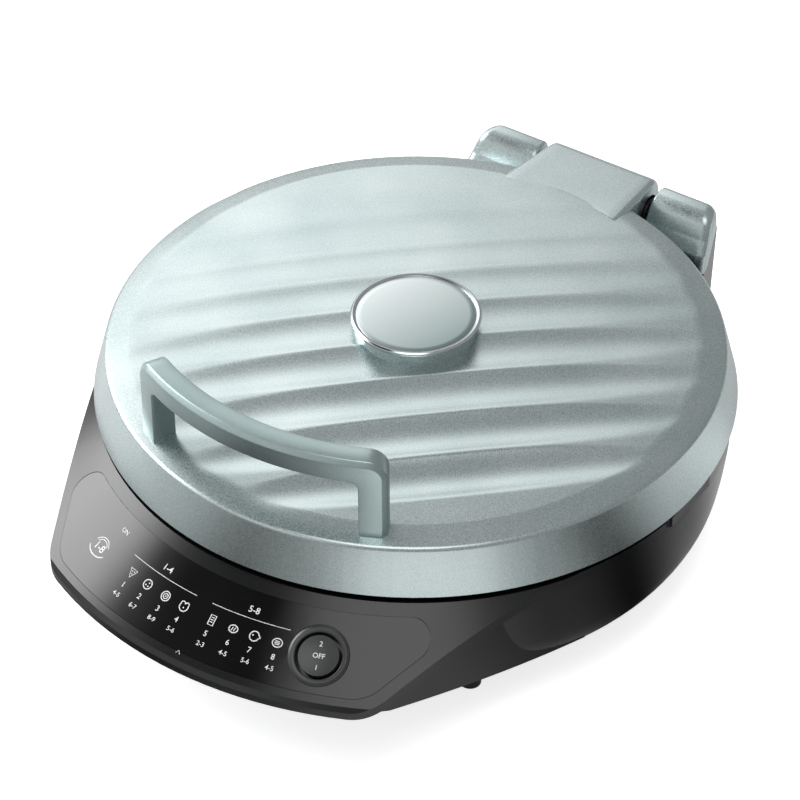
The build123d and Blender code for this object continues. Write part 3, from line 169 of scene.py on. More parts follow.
def turned(outline, steps=96):
    """An outline of (radius, rise) points turned round the axis. A radius of 0 is a pole."""
    points, faces, rows = [], [], []
    for radius, rise in outline:
        if radius == 0:
            rows.append([len(points)] * steps)
            points.append((0, 0, rise))
        else:
            rows.append([len(points) + step for step in range(steps)])
            points += [ring(radius, 2 * pi * step / steps, rise) for step in range(steps)]
    closed = list(zip(rows, rows[1:] + rows[:1]))
    if outline[0][0] == 0 and outline[-1][0] == 0:
        closed = closed[:-1]
    for low, high in closed:
        faces += band(low, high)
    return points, faces


def rows_of(total, count):
    """Point numbers in rows of a count."""
    return [list(range(start, start + count)) for start in range(0, total, count)]


def loft(sections):
    """Joins closed outlines of the same length, with a flat cap at each end."""
    points = [point for section in sections for point in section]
    rows = rows_of(len(points), len(sections[0]))
    faces = [face for low, high in zip(rows, rows[1:]) for face in band(low, high)]
    return points, faces + [rows[0], rows[-1]]


square = rounded([(0, 0, 2), (10, 0, 2), (10, 10, 2), (0, 10, 2)])
print("helpers ready; a square of side 10 with round corners has", len(square), "points")

# %% [markdown]
# ## Material helpers
# Paint charts give colours as sRGB hex values, but the renderer mixes light in linear numbers,
# so one function converts them. Another adds a node with its settings and its links, for
# materials and for Geometry Nodes alike. Every finish ends the same way, with a colour between
# two paints, and mostly a gloss that isn't quite even and a little relief, so this is shared too.

# %% Colour and node helpers
def paint(code):
    """An sRGB hex colour such as B4C2C2 as linear numbers."""
    parts = [int(code[start:start + 2], 16) / 255 for start in (0, 2, 4)]
    linear = [part / 12.92 if part <= 0.04045 else ((part + 0.055) / 1.055) ** 2.4 for part in parts]
    return (*linear, 1)


def pick(sockets, name):
    """The socket of that name that is in use: a Mix node has one set for each data type."""
    return next(socket for socket in sockets if socket.name == name and socket.enabled)


def feed(tree, node, inputs):
    """Sets a node's inputs to values, or links them to sockets or to nodes' first output in use."""
    for key, value in inputs.items():
        socket = node.inputs[key] if isinstance(key, int) else pick(node.inputs, key)
        for source in value if isinstance(value, list) else [value]:
            if isinstance(source, bpy.types.Node):
                source = next(output for output in source.outputs if output.enabled)
            if isinstance(source, bpy.types.NodeSocket):
                tree.links.new(source, socket)
            else:
                socket.default_value = source


def add_node(tree, kind, inputs=None, **settings):
    """Adds a node, sets its properties, and feeds its inputs."""
    made = tree.nodes.new(kind)
    for key, value in settings.items():
        setattr(made, key, value)
    feed(tree, made, inputs or {})
    return made


def new_finish(name, **shader_values):
    """A material with its shader's own sockets set, its tree, its shader and its object coordinates."""
    material = bpy.data.materials.new(name)
    material.use_nodes = True
    tree = material.node_tree
    shader = tree.nodes["Principled BSDF"]
    for key, value in shader_values.items():
        shader.inputs[key.replace("_", " ")].default_value = value
    return material, tree, shader, add_node(tree, "ShaderNodeTexCoord").outputs["Object"]


def dress(tree, shader, share, ends, gloss=None, relief=None):
    """Colours a shader by a share between two paints. Its gloss is a pattern, a roughness and how
    far the one moves the other. Its relief is a height, a strength and a depth in millimetres."""
    dark, light = (paint(code) for code in ends)
    mixed = {"Factor": share, "A": dark, "B": light}
    look = {"Base Color": add_node(tree, "ShaderNodeMix", mixed, data_type="RGBA")}
    if gloss:
        pattern, middle, spread = gloss
        limits = {"Value": pattern, "To Min": middle - spread, "To Max": middle + spread}
        look["Roughness"] = add_node(tree, "ShaderNodeMapRange", limits)
    if relief:
        height, strength, depth = relief
        bump = {"Height": height, "Strength": strength, "Distance": depth * MM}
        look["Normal"] = add_node(tree, "ShaderNodeBump", bump)
    feed(tree, shader, look)


print("mid grey 808080 in linear numbers:", round(paint("808080")[0], 3))

# %% [markdown]
# ## Metallic silver paint on the lid
# The lid, handle and ear caps are ABS mouldings sprayed with a silver-blue base coat full of
# aluminium flakes about 0.05 mm wide. Each flake is a tiny mirror that lies at its own angle,
# so the surface looks half like metal, with a soft broad highlight and a fine sparkle. The
# sparkle is drawn as cells of 0.45 mm, coarser than the flakes, because finer ones would not
# show at this distance. A slow noise keeps the tone from being perfectly even.

# %% Silver paint, with the sizes of its pattern in millimetres
FLAKE_CELL, PAINT_CLOUD = 0.45, 60
UNEVEN = 0.04


def silver_paint(name, dark_flake, light_flake, roughness, grain):
    """Sprayed metallic paint: flakes that differ in tone by a grain, over a slow change of tone."""
    material, tree, shader, where = new_finish(name, Metallic=0.94, Coat_Weight=0.12, Coat_Roughness=0.3)
    cells = add_node(tree, "ShaderNodeTexVoronoi", {"Vector": where, "Scale": 1000 / FLAKE_CELL})
    flake = add_node(tree, "ShaderNodeSeparateColor", {"Color": cells.outputs["Color"]})
    cloud = {"Vector": where, "Scale": 1000 / PAINT_CLOUD, "Detail": 2.0}
    cloud = add_node(tree, "ShaderNodeTexNoise", cloud)
    limits = {"To Min": 0.5 - grain, "To Max": 0.5 + grain}
    sparkle = add_node(tree, "ShaderNodeMapRange", {"Value": flake, **limits})
    tone = add_node(tree, "ShaderNodeMath", {0: sparkle, 1: cloud}, operation="ADD")
    share = add_node(tree, "ShaderNodeMapRange", {"Value": tone, "From Min": 0.4, "From Max": 1.6})
    dress(tree, shader, share, (dark_flake, light_flake), (flake, roughness, UNEVEN), (flake, 0.05, 0.03))
    return material


lid_paint = silver_paint("silver_flake_paint_lid", "A3B3B3", "D2DCDC", 0.3, 0.3)
handle_paint = silver_paint("silver_flake_paint_handle", "8A9E9D", "B8C8C7", 0.36, 0.16)
ear_paint = silver_paint("silver_flake_paint_ears", "8FA1A2", "D4DEDE", 0.3, 0.2)
print("paints:", lid_paint.name, handle_paint.name, ear_paint.name)

# %% [markdown]
# ## Black plastics and the control film
# The base is black ABS with a satin spark-eroded texture: tiny pits about 0.6 mm apart blur its
# reflections into broad grey glows. The control panel is a polyester film printed black from
# behind, so its surface is smooth and mirrors the room sharply. The rocker and its bezel are
# half gloss and a little lighter. All three are dielectrics, so their colour is nearly black
# and what one sees is mostly reflected light.

# %% Satin, gloss and half gloss black, and the small mouldings inside
PLASTIC_CLOUD, INK_GRAIN = 45, 0.4


def moulded_plastic(name, colour, light_colour, roughness, pit, depth, **shader_values):
    """Moulded plastic: an even colour, fine pits from the mould, and a slow change of gloss."""
    material, tree, shader, where = new_finish(name, **shader_values)
    pits = add_node(tree, "ShaderNodeTexNoise", {"Vector": where, "Scale": 1000 / pit, "Detail": 2.0})
    cloud = {"Vector": where, "Scale": 1000 / PLASTIC_CLOUD, "Detail": 3.0}
    cloud = add_node(tree, "ShaderNodeTexNoise", cloud)
    dress(tree, shader, cloud, (colour, light_colour), (cloud, roughness, UNEVEN), (pits, 0.25, depth))
    return material


base_plastic = moulded_plastic("satin_black_abs", "0F1011", "151617", 0.21, 0.6, 0.015)
film_finish = moulded_plastic("printed_polyester_film", "050506", "080809", 0.12, 30.0, 0.002)
switch_finish = moulded_plastic("half_gloss_black_abs", "2E2F30", "363738", 0.3, 0.5, 0.01)
foot_rubber = moulded_plastic(
    "moulded_foot_rubber", "0E0E0E", "161616", 0.7, 0.4, 0.03, Specular_IOR_Level=0.35,
)
white_plastic = moulded_plastic("natural_nylon", "C9C6BC", "D6D3CA", 0.5, 0.8, 0.02)
lead_rubber = moulded_plastic("silicone_lead_sleeve", "8D8478", "9C9488", 0.55, 0.5, 0.02)
thermostat_ceramic = moulded_plastic("steatite_ceramic", "D8D2C6", "E2DDD3", 0.32, 0.5, 0.01)
lamp_lens = moulded_plastic("tinted_lamp_lens", "A8341C", "BF4424", 0.12, 5.0, 0.002, Coat_Weight=0.5)

print_white, ink_tree, ink_shader, ink_where = new_finish("screen_printed_white_ink", Roughness=0.5)
ink_grain = add_node(ink_tree, "ShaderNodeTexNoise", {"Vector": ink_where, "Scale": 1000 / INK_GRAIN})
dress(ink_tree, ink_shader, ink_grain, ("D4D6D6", "F0F1F1"))
print("plastics:", base_plastic.name, film_finish.name, switch_finish.name, print_white.name)

# %% [markdown]
# ## Metals
# Bare metal shows how it was worked. The badge face is polished and clear coated, the shields
# are rolled sheet with fine lines along the roll, the screws are zinc plated, and the cooking
# plates are cast aluminium under a dark non-stick coat with small speckles.

# %% Worked metals
def worked_metal(name, colour, light_colour, roughness, line, stretch=1):
    """Metal with lines or grain of a real size in millimetres, drawn out along X by the stretch."""
    material, tree, shader, where = new_finish(name, Metallic=1.0)
    along = add_node(tree, "ShaderNodeMapping", {"Vector": where, "Scale": (1 / stretch, 1, 1)})
    lines = add_node(tree, "ShaderNodeTexNoise", {"Vector": along, "Scale": 1000 / line, "Detail": 3.0})
    dress(tree, shader, lines, (colour, light_colour), (lines, roughness, roughness / 5), (lines, 0.1, 0.01))
    return material


badge_chrome = worked_metal("polished_chrome_trim", "C4CCCC", "D8DEDE", 0.12, 3.0)
shield_metal = worked_metal("rolled_aluminium_sheet", "B4B6B8", "C8CACC", 0.3, 0.4, 12)
heater_sheath = worked_metal("drawn_heater_sheath", "4E4C4A", "6A6764", 0.45, 0.6)
zinc_steel = worked_metal("zinc_plated_steel", "A2A3A6", "B9BABD", 0.3, 0.5)
pin_steel = worked_metal("ground_steel_pin", "A9AAAC", "BFC0C2", 0.22, 0.3, 8)
brass = worked_metal("nickel_plated_brass", "B89A5C", "CDB277", 0.28, 0.5)

# %% Badge face: silver foil under a clear dome, with a painted reflection that makes it lighter towards the back left
BADGE_ACROSS = 63.0
badge_face, badge_tree, badge_shader, badge_where = new_finish(
    "foil_under_clear_resin", Metallic=0.85, Roughness=0.28, Coat_Weight=1.0, Coat_Roughness=0.04,
)
badge_place = add_node(badge_tree, "ShaderNodeMapping", {
    "Vector": badge_where, "Location": (0.5, -PAN_Y / BADGE_ACROSS, 0),
    "Scale": (1000 / BADGE_ACROSS, 1000 / BADGE_ACROSS, 1), "Rotation": (0, 0, radians(20)),
})
# Painted reflection: the face's colour runs from light at the back left to darker at the front right, fixed
# in the material.
badge_painted_reflection = add_node(badge_tree, "ShaderNodeSeparateXYZ", {"Vector": badge_place}).outputs["X"]
dress(badge_tree, badge_shader, badge_painted_reflection, ("C9D1D1", "7F9492"))

# %% Non-stick coat, with the sizes of its specks and grain in millimetres
SPECK_CELL, COAT_GRAIN = 1.6, 0.7
nonstick, coat_tree, coat_shader, coat_where = new_finish(
    "non_stick_coated_aluminium", Metallic=0.25, Roughness=0.4,
)
specks = add_node(coat_tree, "ShaderNodeTexVoronoi", {"Vector": coat_where, "Scale": 1000 / SPECK_CELL})
specks = add_node(coat_tree, "ShaderNodeMapRange", {
    "Value": specks.outputs["Distance"], "From Min": 0.1, "From Max": 0.2, "To Min": 0.6, "To Max": 0.0,
})
coat_grain = add_node(coat_tree, "ShaderNodeTexNoise", {"Vector": coat_where, "Scale": 1000 / COAT_GRAIN})
dress(coat_tree, coat_shader, specks, ("1C1C1E", "5A5A5C"), relief=(coat_grain, 0.3, 0.02))
print("metals:", badge_chrome.name, shield_metal.name, badge_face.name, nonstick.name)

# %% [markdown]
# ## The rippled dome
# The real lid is one moulding whose dome is scooped by eight shallow troughs side by side, each
# bent like a bow so that it runs out at the dome's edge. Neighbouring troughs meet in soft
# crests. A formula gives the height at any place, so the dome is made as rows of points along
# the crests, with extra rows close to each crest, where the light changes fastest.

# %% Height of the lid at a place
DOME_RING, DOME_RING_RISE, DOME_RISE = 149.0, 30.0, 37.5
DOME_SPHERE = (DOME_RING**2 + (DOME_RISE - DOME_RING_RISE) ** 2) / (2 * (DOME_RISE - DOME_RING_RISE))
SHOULDER, SHOULDER_RISE, LID_RADIUS = 163.1, 26.4, 170.0
RIPPLE_TURN = radians(42)
RIPPLE_PITCH, FIRST_CREST, TROUGHS = 30.0, -133.5, 8
DEEPEST, SHALLOWEST, RUN_OUT, REACH = 3.0, 0.6, 10, 0.75
CREST_ROUND = 0.5


def soft_low(a, b):
    """The lower of two heights, rounded where they are nearly equal."""
    near = max(CREST_ROUND - abs(a - b), 0) / CREST_ROUND
    return min(a, b) - near * near * CREST_ROUND / 4


def lid_rise(along, across):
    """Height of the lid's top over its edge, along and across the ripples."""
    radius = hypot(along, across)
    if radius < DOME_RING:
        rise = DOME_RISE - DOME_SPHERE + sqrt(DOME_SPHERE**2 - radius**2)
    else:
        share = (radius - DOME_RING) / (SHOULDER - DOME_RING)
        rise = DOME_RING_RISE - (DOME_RING_RISE - SHOULDER_RISE) * share
    for number in range(TROUGHS):
        middle = FIRST_CREST + (number + 0.5) * RIPPLE_PITCH
        depth = DEEPEST - (DEEPEST - SHALLOWEST) * number / (TROUGHS - 1)
        off = across - middle
        if abs(off) > RIPPLE_PITCH * REACH:
            continue
        half = (DOME_RING + RUN_OUT) ** 2 - middle**2
        crown = DOME_RISE - middle**2 / (2 * DOME_SPHERE)
        bend = 1 / (1 / DOME_SPHERE - 2 * depth / half)
        groove = RIPPLE_PITCH**2 / (8 * depth) + depth / 2
        reach = bend + groove - sqrt(groove**2 - off**2)
        rise = soft_low(rise, crown - depth - bend + sqrt(reach**2 - along**2))
    return rise


def ripple_place(along, across):
    """A place along and across the ripples as (x, y) round the pan axis."""
    return (
        along * cos(RIPPLE_TURN) - across * sin(RIPPLE_TURN),
        along * sin(RIPPLE_TURN) + across * cos(RIPPLE_TURN),
    )


print("dome radius:", round(DOME_SPHERE), "rise in the first trough:", round(lid_rise(0, -118.5), 2))

# %% Rows of points along the crests
rows = {round(DOME_RING * sin(radians(turn)), 2) for turn in range(-90, 91, 3) if abs(turn) > 60}
for number in range(TROUGHS + 1):
    crest = FIRST_CREST + number * RIPPLE_PITCH
    rows |= {round(crest + side * off, 2) for side in (-1, 1) for off in (0, 0.5, 1.1, 2, 3.5, 6, 9, 12, 15)}
rows = sorted(row for row in rows if abs(row) <= DOME_RING)
COLUMNS = 80
dome_points, dome_lines = [], []
for across in rows:
    start = len(dome_points)
    half = sqrt(max(DOME_RING**2 - across**2, 0))
    alongs = [half * (2 * step / COLUMNS - 1) for step in range(COLUMNS + 1)] if half > 0.01 else [0]
    dome_points += [(*ripple_place(along, across), lid_rise(along, across)) for along in alongs]
    dome_lines.append([start + min(step, len(alongs) - 1) for step in range(COLUMNS + 1)])
dome_faces = [face for low, high in zip(dome_lines, dome_lines[1:]) for face in band(low, high, closed=False)]
print("dome rows:", len(rows), "points:", len(dome_points))

# %% [markdown]
# ## Shoulder, leaning band and lip
# Outside the dome the lid falls to a rounded shoulder and a band that leans out to the lower
# edge. These follow the dome's own edge points, ring by ring, so that no crack shows between
# the rippled part and the turned part. The rings go on under the lip and up the inner wall, as
# the real shell is about 2.6 mm thick, and close over the hidden ceiling.

# %% The lid's rim, ring by ring, from the dome's edge round the lip to the ceiling inside
SHELL = 2.6
CEILING, CEILING_TOP = [(120, 27.3), (80, 29.9), (40, 31.5)], 32.1
edge = [row[-1] for row in dome_lines] + [row[0] for row in dome_lines[-2:0:-1]]
angles = [atan2(dome_points[index][1], dome_points[index][0]) for index in edge]
shoulder_line = rounded([
    (DOME_RING, DOME_RING_RISE, 0), (SHOULDER, SHOULDER_RISE, 3.2), (LID_RADIUS, 0, 0.5),
    (LID_RADIUS - SHELL, 0, 0.5), (160.5, 23.7, 3.0), (DOME_RING, 24.6, 0),
], 6)[1:]
rim_line = [(150.5, 29.62), (153, 28.98), (156.5, 28.09)] + shoulder_line + CEILING
lid_points, lid_faces = list(dome_points), list(dome_faces)
last = edge
for radius, rise in rim_line:
    start = len(lid_points)
    for angle in angles:
        x, y = radius * cos(angle), radius * sin(angle)
        along = x * cos(RIPPLE_TURN) + y * sin(RIPPLE_TURN)
        across = y * cos(RIPPLE_TURN) - x * sin(RIPPLE_TURN)
        trough = lid_rise(along, across) if rise > 28 and radius < SHOULDER else rise
        lid_points.append((x, y, min(rise, trough)))
    new = list(range(start, start + len(edge)))
    lid_faces += band(last, new)
    last = new
lid_faces += band(last, [len(lid_points)] * len(edge))
lid_points.append((0, 0, CEILING_TOP))
print("lid shell points:", len(lid_points))

# %% [markdown]
# ## Hinge block and plinth
# At the back the shell carries a wide block that covers the hinge knuckle. From the side it has
# a round arch underneath, which leaves the pin and the base's ears room to pass as the lid opens.
# It narrows a little towards the back, and its long upper edges are rounded, which catches the
# light. The plinth under the badge is a low round step.

# %% The hinge block, lofted from side to side, with the arch round the hinge axis
BLOCK_BACK, BLOCK_FRONT_HALF, BLOCK_BACK_HALF = 195.5, 37.0, 33.5
BLOCK_BACK_RISE, BLOCK_FALL = 26, 4 / 46.5
HINGE_Y, HINGE_RISE, ARCH_RADIUS, ARCH_START, ARCH_TURN = 181, 10, 10.5, -41.8, 263.6
FLANK_WIDE, FLANK_DROP = 3.4, 2.6


def block_section(side, inward, drop):
    """The block's outline on one side, moved in from its flank, its top lowered by the rounding."""
    front = sqrt(DOME_RING**2 - (BLOCK_FRONT_HALF * abs(side)) ** 2)
    top = DOME_RING_RISE + (DOME_RING - front) * BLOCK_FALL - drop
    arch = [
        (HINGE_Y - ARCH_RADIUS * cos(turn), HINGE_RISE + ARCH_RADIUS * sin(turn))
        for turn in [radians(ARCH_START + ARCH_TURN * step / 24) for step in range(25)]
    ]
    outline = rounded([
        (front - SHELL, 3, 0), (front - SHELL, top, 0), (front, top, 0),
        (BLOCK_BACK - drop, BLOCK_BACK_RISE - drop, 9), (BLOCK_BACK - drop, 3, 0),
    ], 10) + arch[::-1]
    narrowing = (BLOCK_FRONT_HALF - BLOCK_BACK_HALF) / (BLOCK_BACK - DOME_RING)
    return [
        (side * (BLOCK_FRONT_HALF - inward - narrowing * (y - DOME_RING)), y, rise)
        for y, rise in outline
    ]


turns = [radians(15 * step) for step in range(6, -1, -1)]
flank = [(FLANK_WIDE * (1 - sin(turn)), FLANK_DROP * (1 - cos(turn))) for turn in turns]
sections = [block_section(-1, inward, drop) for inward, drop in flank]
sections += [block_section(share / 6, FLANK_WIDE, 0) for share in range(-5, 6)]
sections += [block_section(1, inward, drop) for inward, drop in reversed(flank)]
hinge_block = loft(sections)
plinth = turned(rounded([(0, 31, 0), (32.6, 31, 0), (32.6, 41.8, 0.4), (0, 41.8, 0)], 3))
lid_parts = [(lid_points, lid_faces), hinge_block, plinth]
make_piece("lid_shell_rippled", lid_parts, lid_paint, "lid", ["lid_shell"], "silver_paint")

# %% [markdown]
# ## Ear caps on the hinge
# Two silver caps cover the ears in which the hinge pin rises. From the side a cap is a sloping
# front, a round crown and an upright back. Its outer flank spreads towards the front and meets
# the front face in a wide soft bevel. Each cap is lofted from its inner face to its flank, and
# the bevel is a row of sections that shrink a little as they near the flank.

# %% The ear caps
EAR_INNER, EAR_OUTER, EAR_BACK, EAR_TOP, EAR_SPREAD = 38.0, 72.0, 193.0, 24.2, 25 / 89
INNER_ROUND, FLANK_IN, FLANK_SHRINK = 1.6, 6.5, 4.2
LID_CLEAR = 171.5


def ear_section(side, from_inner, from_flank, shrink):
    """The cap's outline at a distance from its inner face or, where that is None, from its flank."""
    outline = rounded([
        (164 + shrink, -5, 0), (166 + shrink, 6, 2), (171.6 + shrink, 12.6, 10),
        (178.6 + 0.6 * shrink, EAR_TOP - shrink, 11), (EAR_BACK - shrink, EAR_TOP - shrink, 5),
        (EAR_BACK - 0.3 * shrink, 8.5, 0), (175, -5, 0),
    ], 10)
    section = []
    for y, rise in outline:
        reach = EAR_OUTER + EAR_SPREAD * (EAR_BACK - y) - from_flank
        x = EAR_INNER + from_inner if from_inner is not None else reach
        section.append((side * x, max(y, sqrt(LID_CLEAR**2 - x**2)), rise))
    return section


inner_turns = [radians(22.5 * step) for step in range(5)]
flank_turns = [radians(11.25 * step) for step in range(8, -1, -1)]
for side, name in ((-1, "ear_cap_left"), (1, "ear_cap_right")):
    sections = [
        ear_section(side, INNER_ROUND * (1 - cos(turn)), 0, INNER_ROUND * (1 - sin(turn)))
        for turn in inner_turns
    ]
    sections += [
        ear_section(side, None, FLANK_IN * (1 - cos(turn)), FLANK_SHRINK * (1 - sin(turn)))
        for turn in flank_turns
    ]
    make_piece(name + "_rounded", [loft(sections)], ear_paint, "base", [name], "silver_paint", smooth=40)

# %% [markdown]
# ## The arched handle
# The handle is a separate moulding: a bar on two posts that follows the lid's round edge. Its
# outline from the front is an arch with a window, and the same outline is laid on the outer and
# the inner face of a thin ring. A chamfer runs along the outer edge of the front face. It is
# lofted through the ring's thickness, so the chamfer and the small edge rounds are just extra
# sections of the same outline.

# %% Handle outlines
HANDLE_RING, HANDLE_ANGLE, WINDOW_ANGLE = 151.2, 28.6, 23.3
HANDLE_HALF, WINDOW_HALF = (HANDLE_RING * radians(angle) for angle in (HANDLE_ANGLE, WINDOW_ANGLE))
BAR, HANDLE_TOP, HANDLE_FOOT = 13.0, 75.0, 27.0


def handle_outline(half, top, corner):
    """An arch from foot to foot, as points at even shares of its stretches."""
    side_steps, bar_steps = 10, 40
    straight = top - corner - HANDLE_FOOT
    left = [(-half, HANDLE_FOOT + straight * step / side_steps) for step in range(side_steps)]
    bend = [
        (-half + corner * (1 - cos(turn)), top - corner * (1 - sin(turn)))
        for turn in [pi / 16 * step for step in range(9)]
    ]
    bar = [(-half + corner + 2 * (half - corner) * step / bar_steps, top) for step in range(1, bar_steps)]
    right = [(-x, rise) for x, rise in reversed(left + bend)]
    return left + bend + bar + right


def on_ring(outline, radius):
    """Wraps an outline round the pan axis, in front. Its posts get sides that point at the axis."""
    return [
        (radius * sin(along / HANDLE_RING), -radius * cos(along / HANDLE_RING), rise)
        for along, rise in outline
    ]


def handle_layer(radius, out, window):
    """The outer and inner outlines at one depth, moved in by a chamfer and out into the window."""
    outer = on_ring(handle_outline(HANDLE_HALF - out, HANDLE_TOP - out, 10 - out), radius)
    inner = on_ring(handle_outline(WINDOW_HALF + window, HANDLE_TOP - BAR + window, 4 + window), radius)
    return outer, inner


# %% Loft the handle through its thickness
layers = [handle_layer(radius, out, window) for radius, out, window in (
    (157.7, 3.1, 0.9), (157.62, 2.75, 0.4), (157.4, 2.45, 0.12), (157.0, 2.0, 0.0),
    (155.9, 0.6, 0.0), (155.5, 0.2, 0.0), (155.0, 0.0, 0.0), (145.9, 0.0, 0.0),
    (145.2, 0.2, 0.1), (144.85, 0.6, 0.35), (144.7, 1.2, 0.9),
)]
handle_points = [point for outer, inner in layers for point in outer + inner]
lines = rows_of(len(handle_points), len(layers[0][0]))
handle_faces = []
for outer, inner, next_outer, next_inner in zip(lines[::2], lines[1::2], lines[2::2], lines[3::2]):
    handle_faces += band(outer, next_outer, closed=False) + band(inner, next_inner, closed=False)
    handle_faces += [[outer[end], inner[end], next_inner[end], next_outer[end]] for end in (0, -1)]
for outer, inner in (lines[:2], lines[-2:]):
    handle_faces += band(outer, inner, closed=False)
handle_parts = [(handle_points, handle_faces)]
make_piece("lid_handle_arch", handle_parts, handle_paint, "lid", ["lid_handle"], "silver_paint", smooth=25)

# %% [markdown]
# ## The badge
# A polished ring holds a round plate whose foil face sits under a clear dome of resin. The real
# one carries a name, which is left off. Both are turned from short outlines. The plate swells
# by a third of a millimetre, so that the room slides softly across it.

# %% Badge ring and plate, each turned from its outline
ring_outline = rounded([
    (31.6, 41.8, 0), (34.1, 41.8, 0.5), (34.4, 43.4, 0.6), (33.2, 44.2, 0.5), (31.6, 43.6, 0.3),
], 4)
plate_outline = [
    (0, 41.8), (31.55, 41.8), (31.55, 43.2), (31.2, 43.45), (28, 43.55), (20, 43.66), (10, 43.74), (0, 43.76),
]
for name, outline, finish, node, slot in (
    ("badge_ring_polished", ring_outline, badge_chrome, "badge_ring", "badge_chrome"),
    ("badge_plate_blank", plate_outline, badge_face, "badge_disc", "badge_face"),
):
    make_piece(name, [turned(outline, 128)], finish, "lid", [node], slot, smooth=50)

# %% [markdown]
# ## Finishes for the CAD's own pieces
# Pieces whose CAD shape is already right keep it and only get a finish in their material slot.
# The list below says what each is made of on a real cooker of this kind.

# %% A finish for each CAD piece
finishes = (
    (base_plastic, "upper_housing lower_housing bottom_cover lid_inner_frame hinge_bracket power_inlet"),
    (base_plastic, "hinge_slides switch_case lower_latch_left lower_latch_right upper_latch"),
    (film_finish, "control_film"), (switch_finish, "switch_rocker"), (lamp_lens, "power_lamp"),
    (white_plastic, "terminal_block"), (lead_rubber, "base_leads"),
    (nonstick, "lower_grill_plate upper_grill_plate"),
    (shield_metal, "lower_heat_shield upper_heat_shield"),
    (heater_sheath, "lower_heating_element upper_heating_element"),
    (zinc_steel, "lower_element_clips upper_element_clips"),
    (thermostat_ceramic, "lower_thermostat upper_thermostat"),
    (brass, "thermal_fuse inlet_pins switch_terminals"), (pin_steel, "hinge_pin"),
)
finished = {name: finish for finish, names in finishes for name in names.split()}
for name, finish in finished.items():
    for slot in cad_nodes[name].material_slots:
        slot.material = finish
print("CAD pieces with a finish:", len(finished), "left for pieces:", sorted(set(cad_nodes) - set(finished)))

# %% [markdown]
# ## Screws and feet
# The cooker is held together by self-tapping screws with pan heads and a cross recess, and it
# stands on four rubber feet whose screws sit in a recess. Each set is the same small form at
# many places, which is what Geometry Nodes are for: one tree builds the form from its sizes,
# puts it on every point of a mesh and makes it real. A second tree does the same for the feet.

# %% Helpers for the trees
def new_tree(name, numbers):
    """A geometry tree with named numbers and a finish for inputs, and its input and output nodes."""
    tree = bpy.data.node_groups.new(name, "GeometryNodeTree")
    kinds = {"Geometry": "Geometry", **dict.fromkeys(numbers, "Float"), "Finish": "Material"}
    for label, kind in kinds.items():
        tree.interface.new_socket(label, in_out="INPUT", socket_type="NodeSocket" + kind)
    tree.interface.new_socket("Geometry", in_out="OUTPUT", socket_type="NodeSocketGeometry")
    return tree, tree.nodes.new("NodeGroupInput").outputs, tree.nodes.new("NodeGroupOutput")


def lifted(tree, form, height, share):
    """A form lifted by a share of a height."""
    up = add_node(tree, "ShaderNodeMath", {0: height, 1: share}, operation="MULTIPLY")
    shift = add_node(tree, "ShaderNodeCombineXYZ", {"Z": up})
    return add_node(tree, "GeometryNodeTransform", {"Geometry": form, "Translation": shift})


def repeated(tree, form, given, result):
    """Ends a tree: the form on every point, made real, with its finish."""
    turn = add_node(tree, "ShaderNodeCombineXYZ", {"X": given["Turn"]})
    places = {"Points": given["Geometry"], "Instance": form, "Rotation": turn}
    placed = add_node(tree, "GeometryNodeInstanceOnPoints", places)
    real = add_node(tree, "GeometryNodeRealizeInstances", {"Geometry": placed})
    done = add_node(tree, "GeometryNodeSetMaterial", {"Geometry": real, "Material": given["Finish"]})
    feed(tree, result, {"Geometry": done})
    print(tree.name, "nodes:", len(tree.nodes))


def baked(name, places, tree, sizes, finish, body):
    """Runs a tree on points at places and keeps the result as a plain piece that replaces its CAD node."""
    mesh = bpy.data.meshes.new(name)
    mesh.from_pydata([at(*place) for place in places], [], [])
    piece = in_scene(name + "_formed", mesh)
    modifier = piece.modifiers.new("form", "NODES")
    modifier.node_group = tree
    values = {label: size if label == "Turn" else size * MM for label, size in sizes.items()}
    values["Finish"] = finish
    for item in tree.interface.items_tree:
        if item.in_out == "INPUT" and item.name in values:
            modifier[item.identifier] = values[item.name]
    formed = bpy.data.meshes.new_from_object(piece.evaluated_get(bpy.context.evaluated_depsgraph_get()))
    piece.modifiers.clear()
    piece.data = formed
    formed.shade_smooth()
    formed.set_sharp_from_angle(angle=radians(35))
    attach(piece, body)
    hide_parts(name)
    print(piece.name, "faces:", len(formed.polygons))


# %% The screw tree, head down as under the base: a tapered head with a cross recess, and a shank
screw_tree, given, result = new_tree(
    "pan_head_screws", ["Head Radius", "Head Height", "Shank Radius", "Shank Length", "Turn"],
)
head_top, bar_length, bar_width = (
    add_node(screw_tree, "ShaderNodeMath", {0: given["Head Radius"], 1: share}, operation="MULTIPLY")
    for share in (0.8, 1.1, 0.26)
)
radius, height = given["Head Radius"], given["Head Height"]
head = add_node(screw_tree, "GeometryNodeMeshCone", {
    "Vertices": 28, "Radius Top": radius, "Radius Bottom": head_top, "Depth": height,
})
bar_size = add_node(screw_tree, "ShaderNodeCombineXYZ", {"X": bar_length, "Y": bar_width, "Z": height})
bar = add_node(screw_tree, "GeometryNodeMeshCube", {"Size": bar_size})
bar = lifted(screw_tree, bar, height, 0.15)
crossed = add_node(screw_tree, "GeometryNodeTransform", {"Geometry": bar, "Rotation": (0, 0, pi / 2)})
recess = {"Mesh 1": head, "Mesh 2": [bar, crossed]}
head = add_node(screw_tree, "GeometryNodeMeshBoolean", recess, operation="DIFFERENCE")
shank = add_node(screw_tree, "GeometryNodeMeshCylinder", {
    "Vertices": 14, "Radius": given["Shank Radius"], "Depth": given["Shank Length"],
})
shank = lifted(screw_tree, lifted(screw_tree, shank, given["Shank Length"], 0.5), height, 1.0)
screw = add_node(screw_tree, "GeometryNodeJoinGeometry", {"Geometry": [head, shank]})
repeated(screw_tree, screw, given, result)

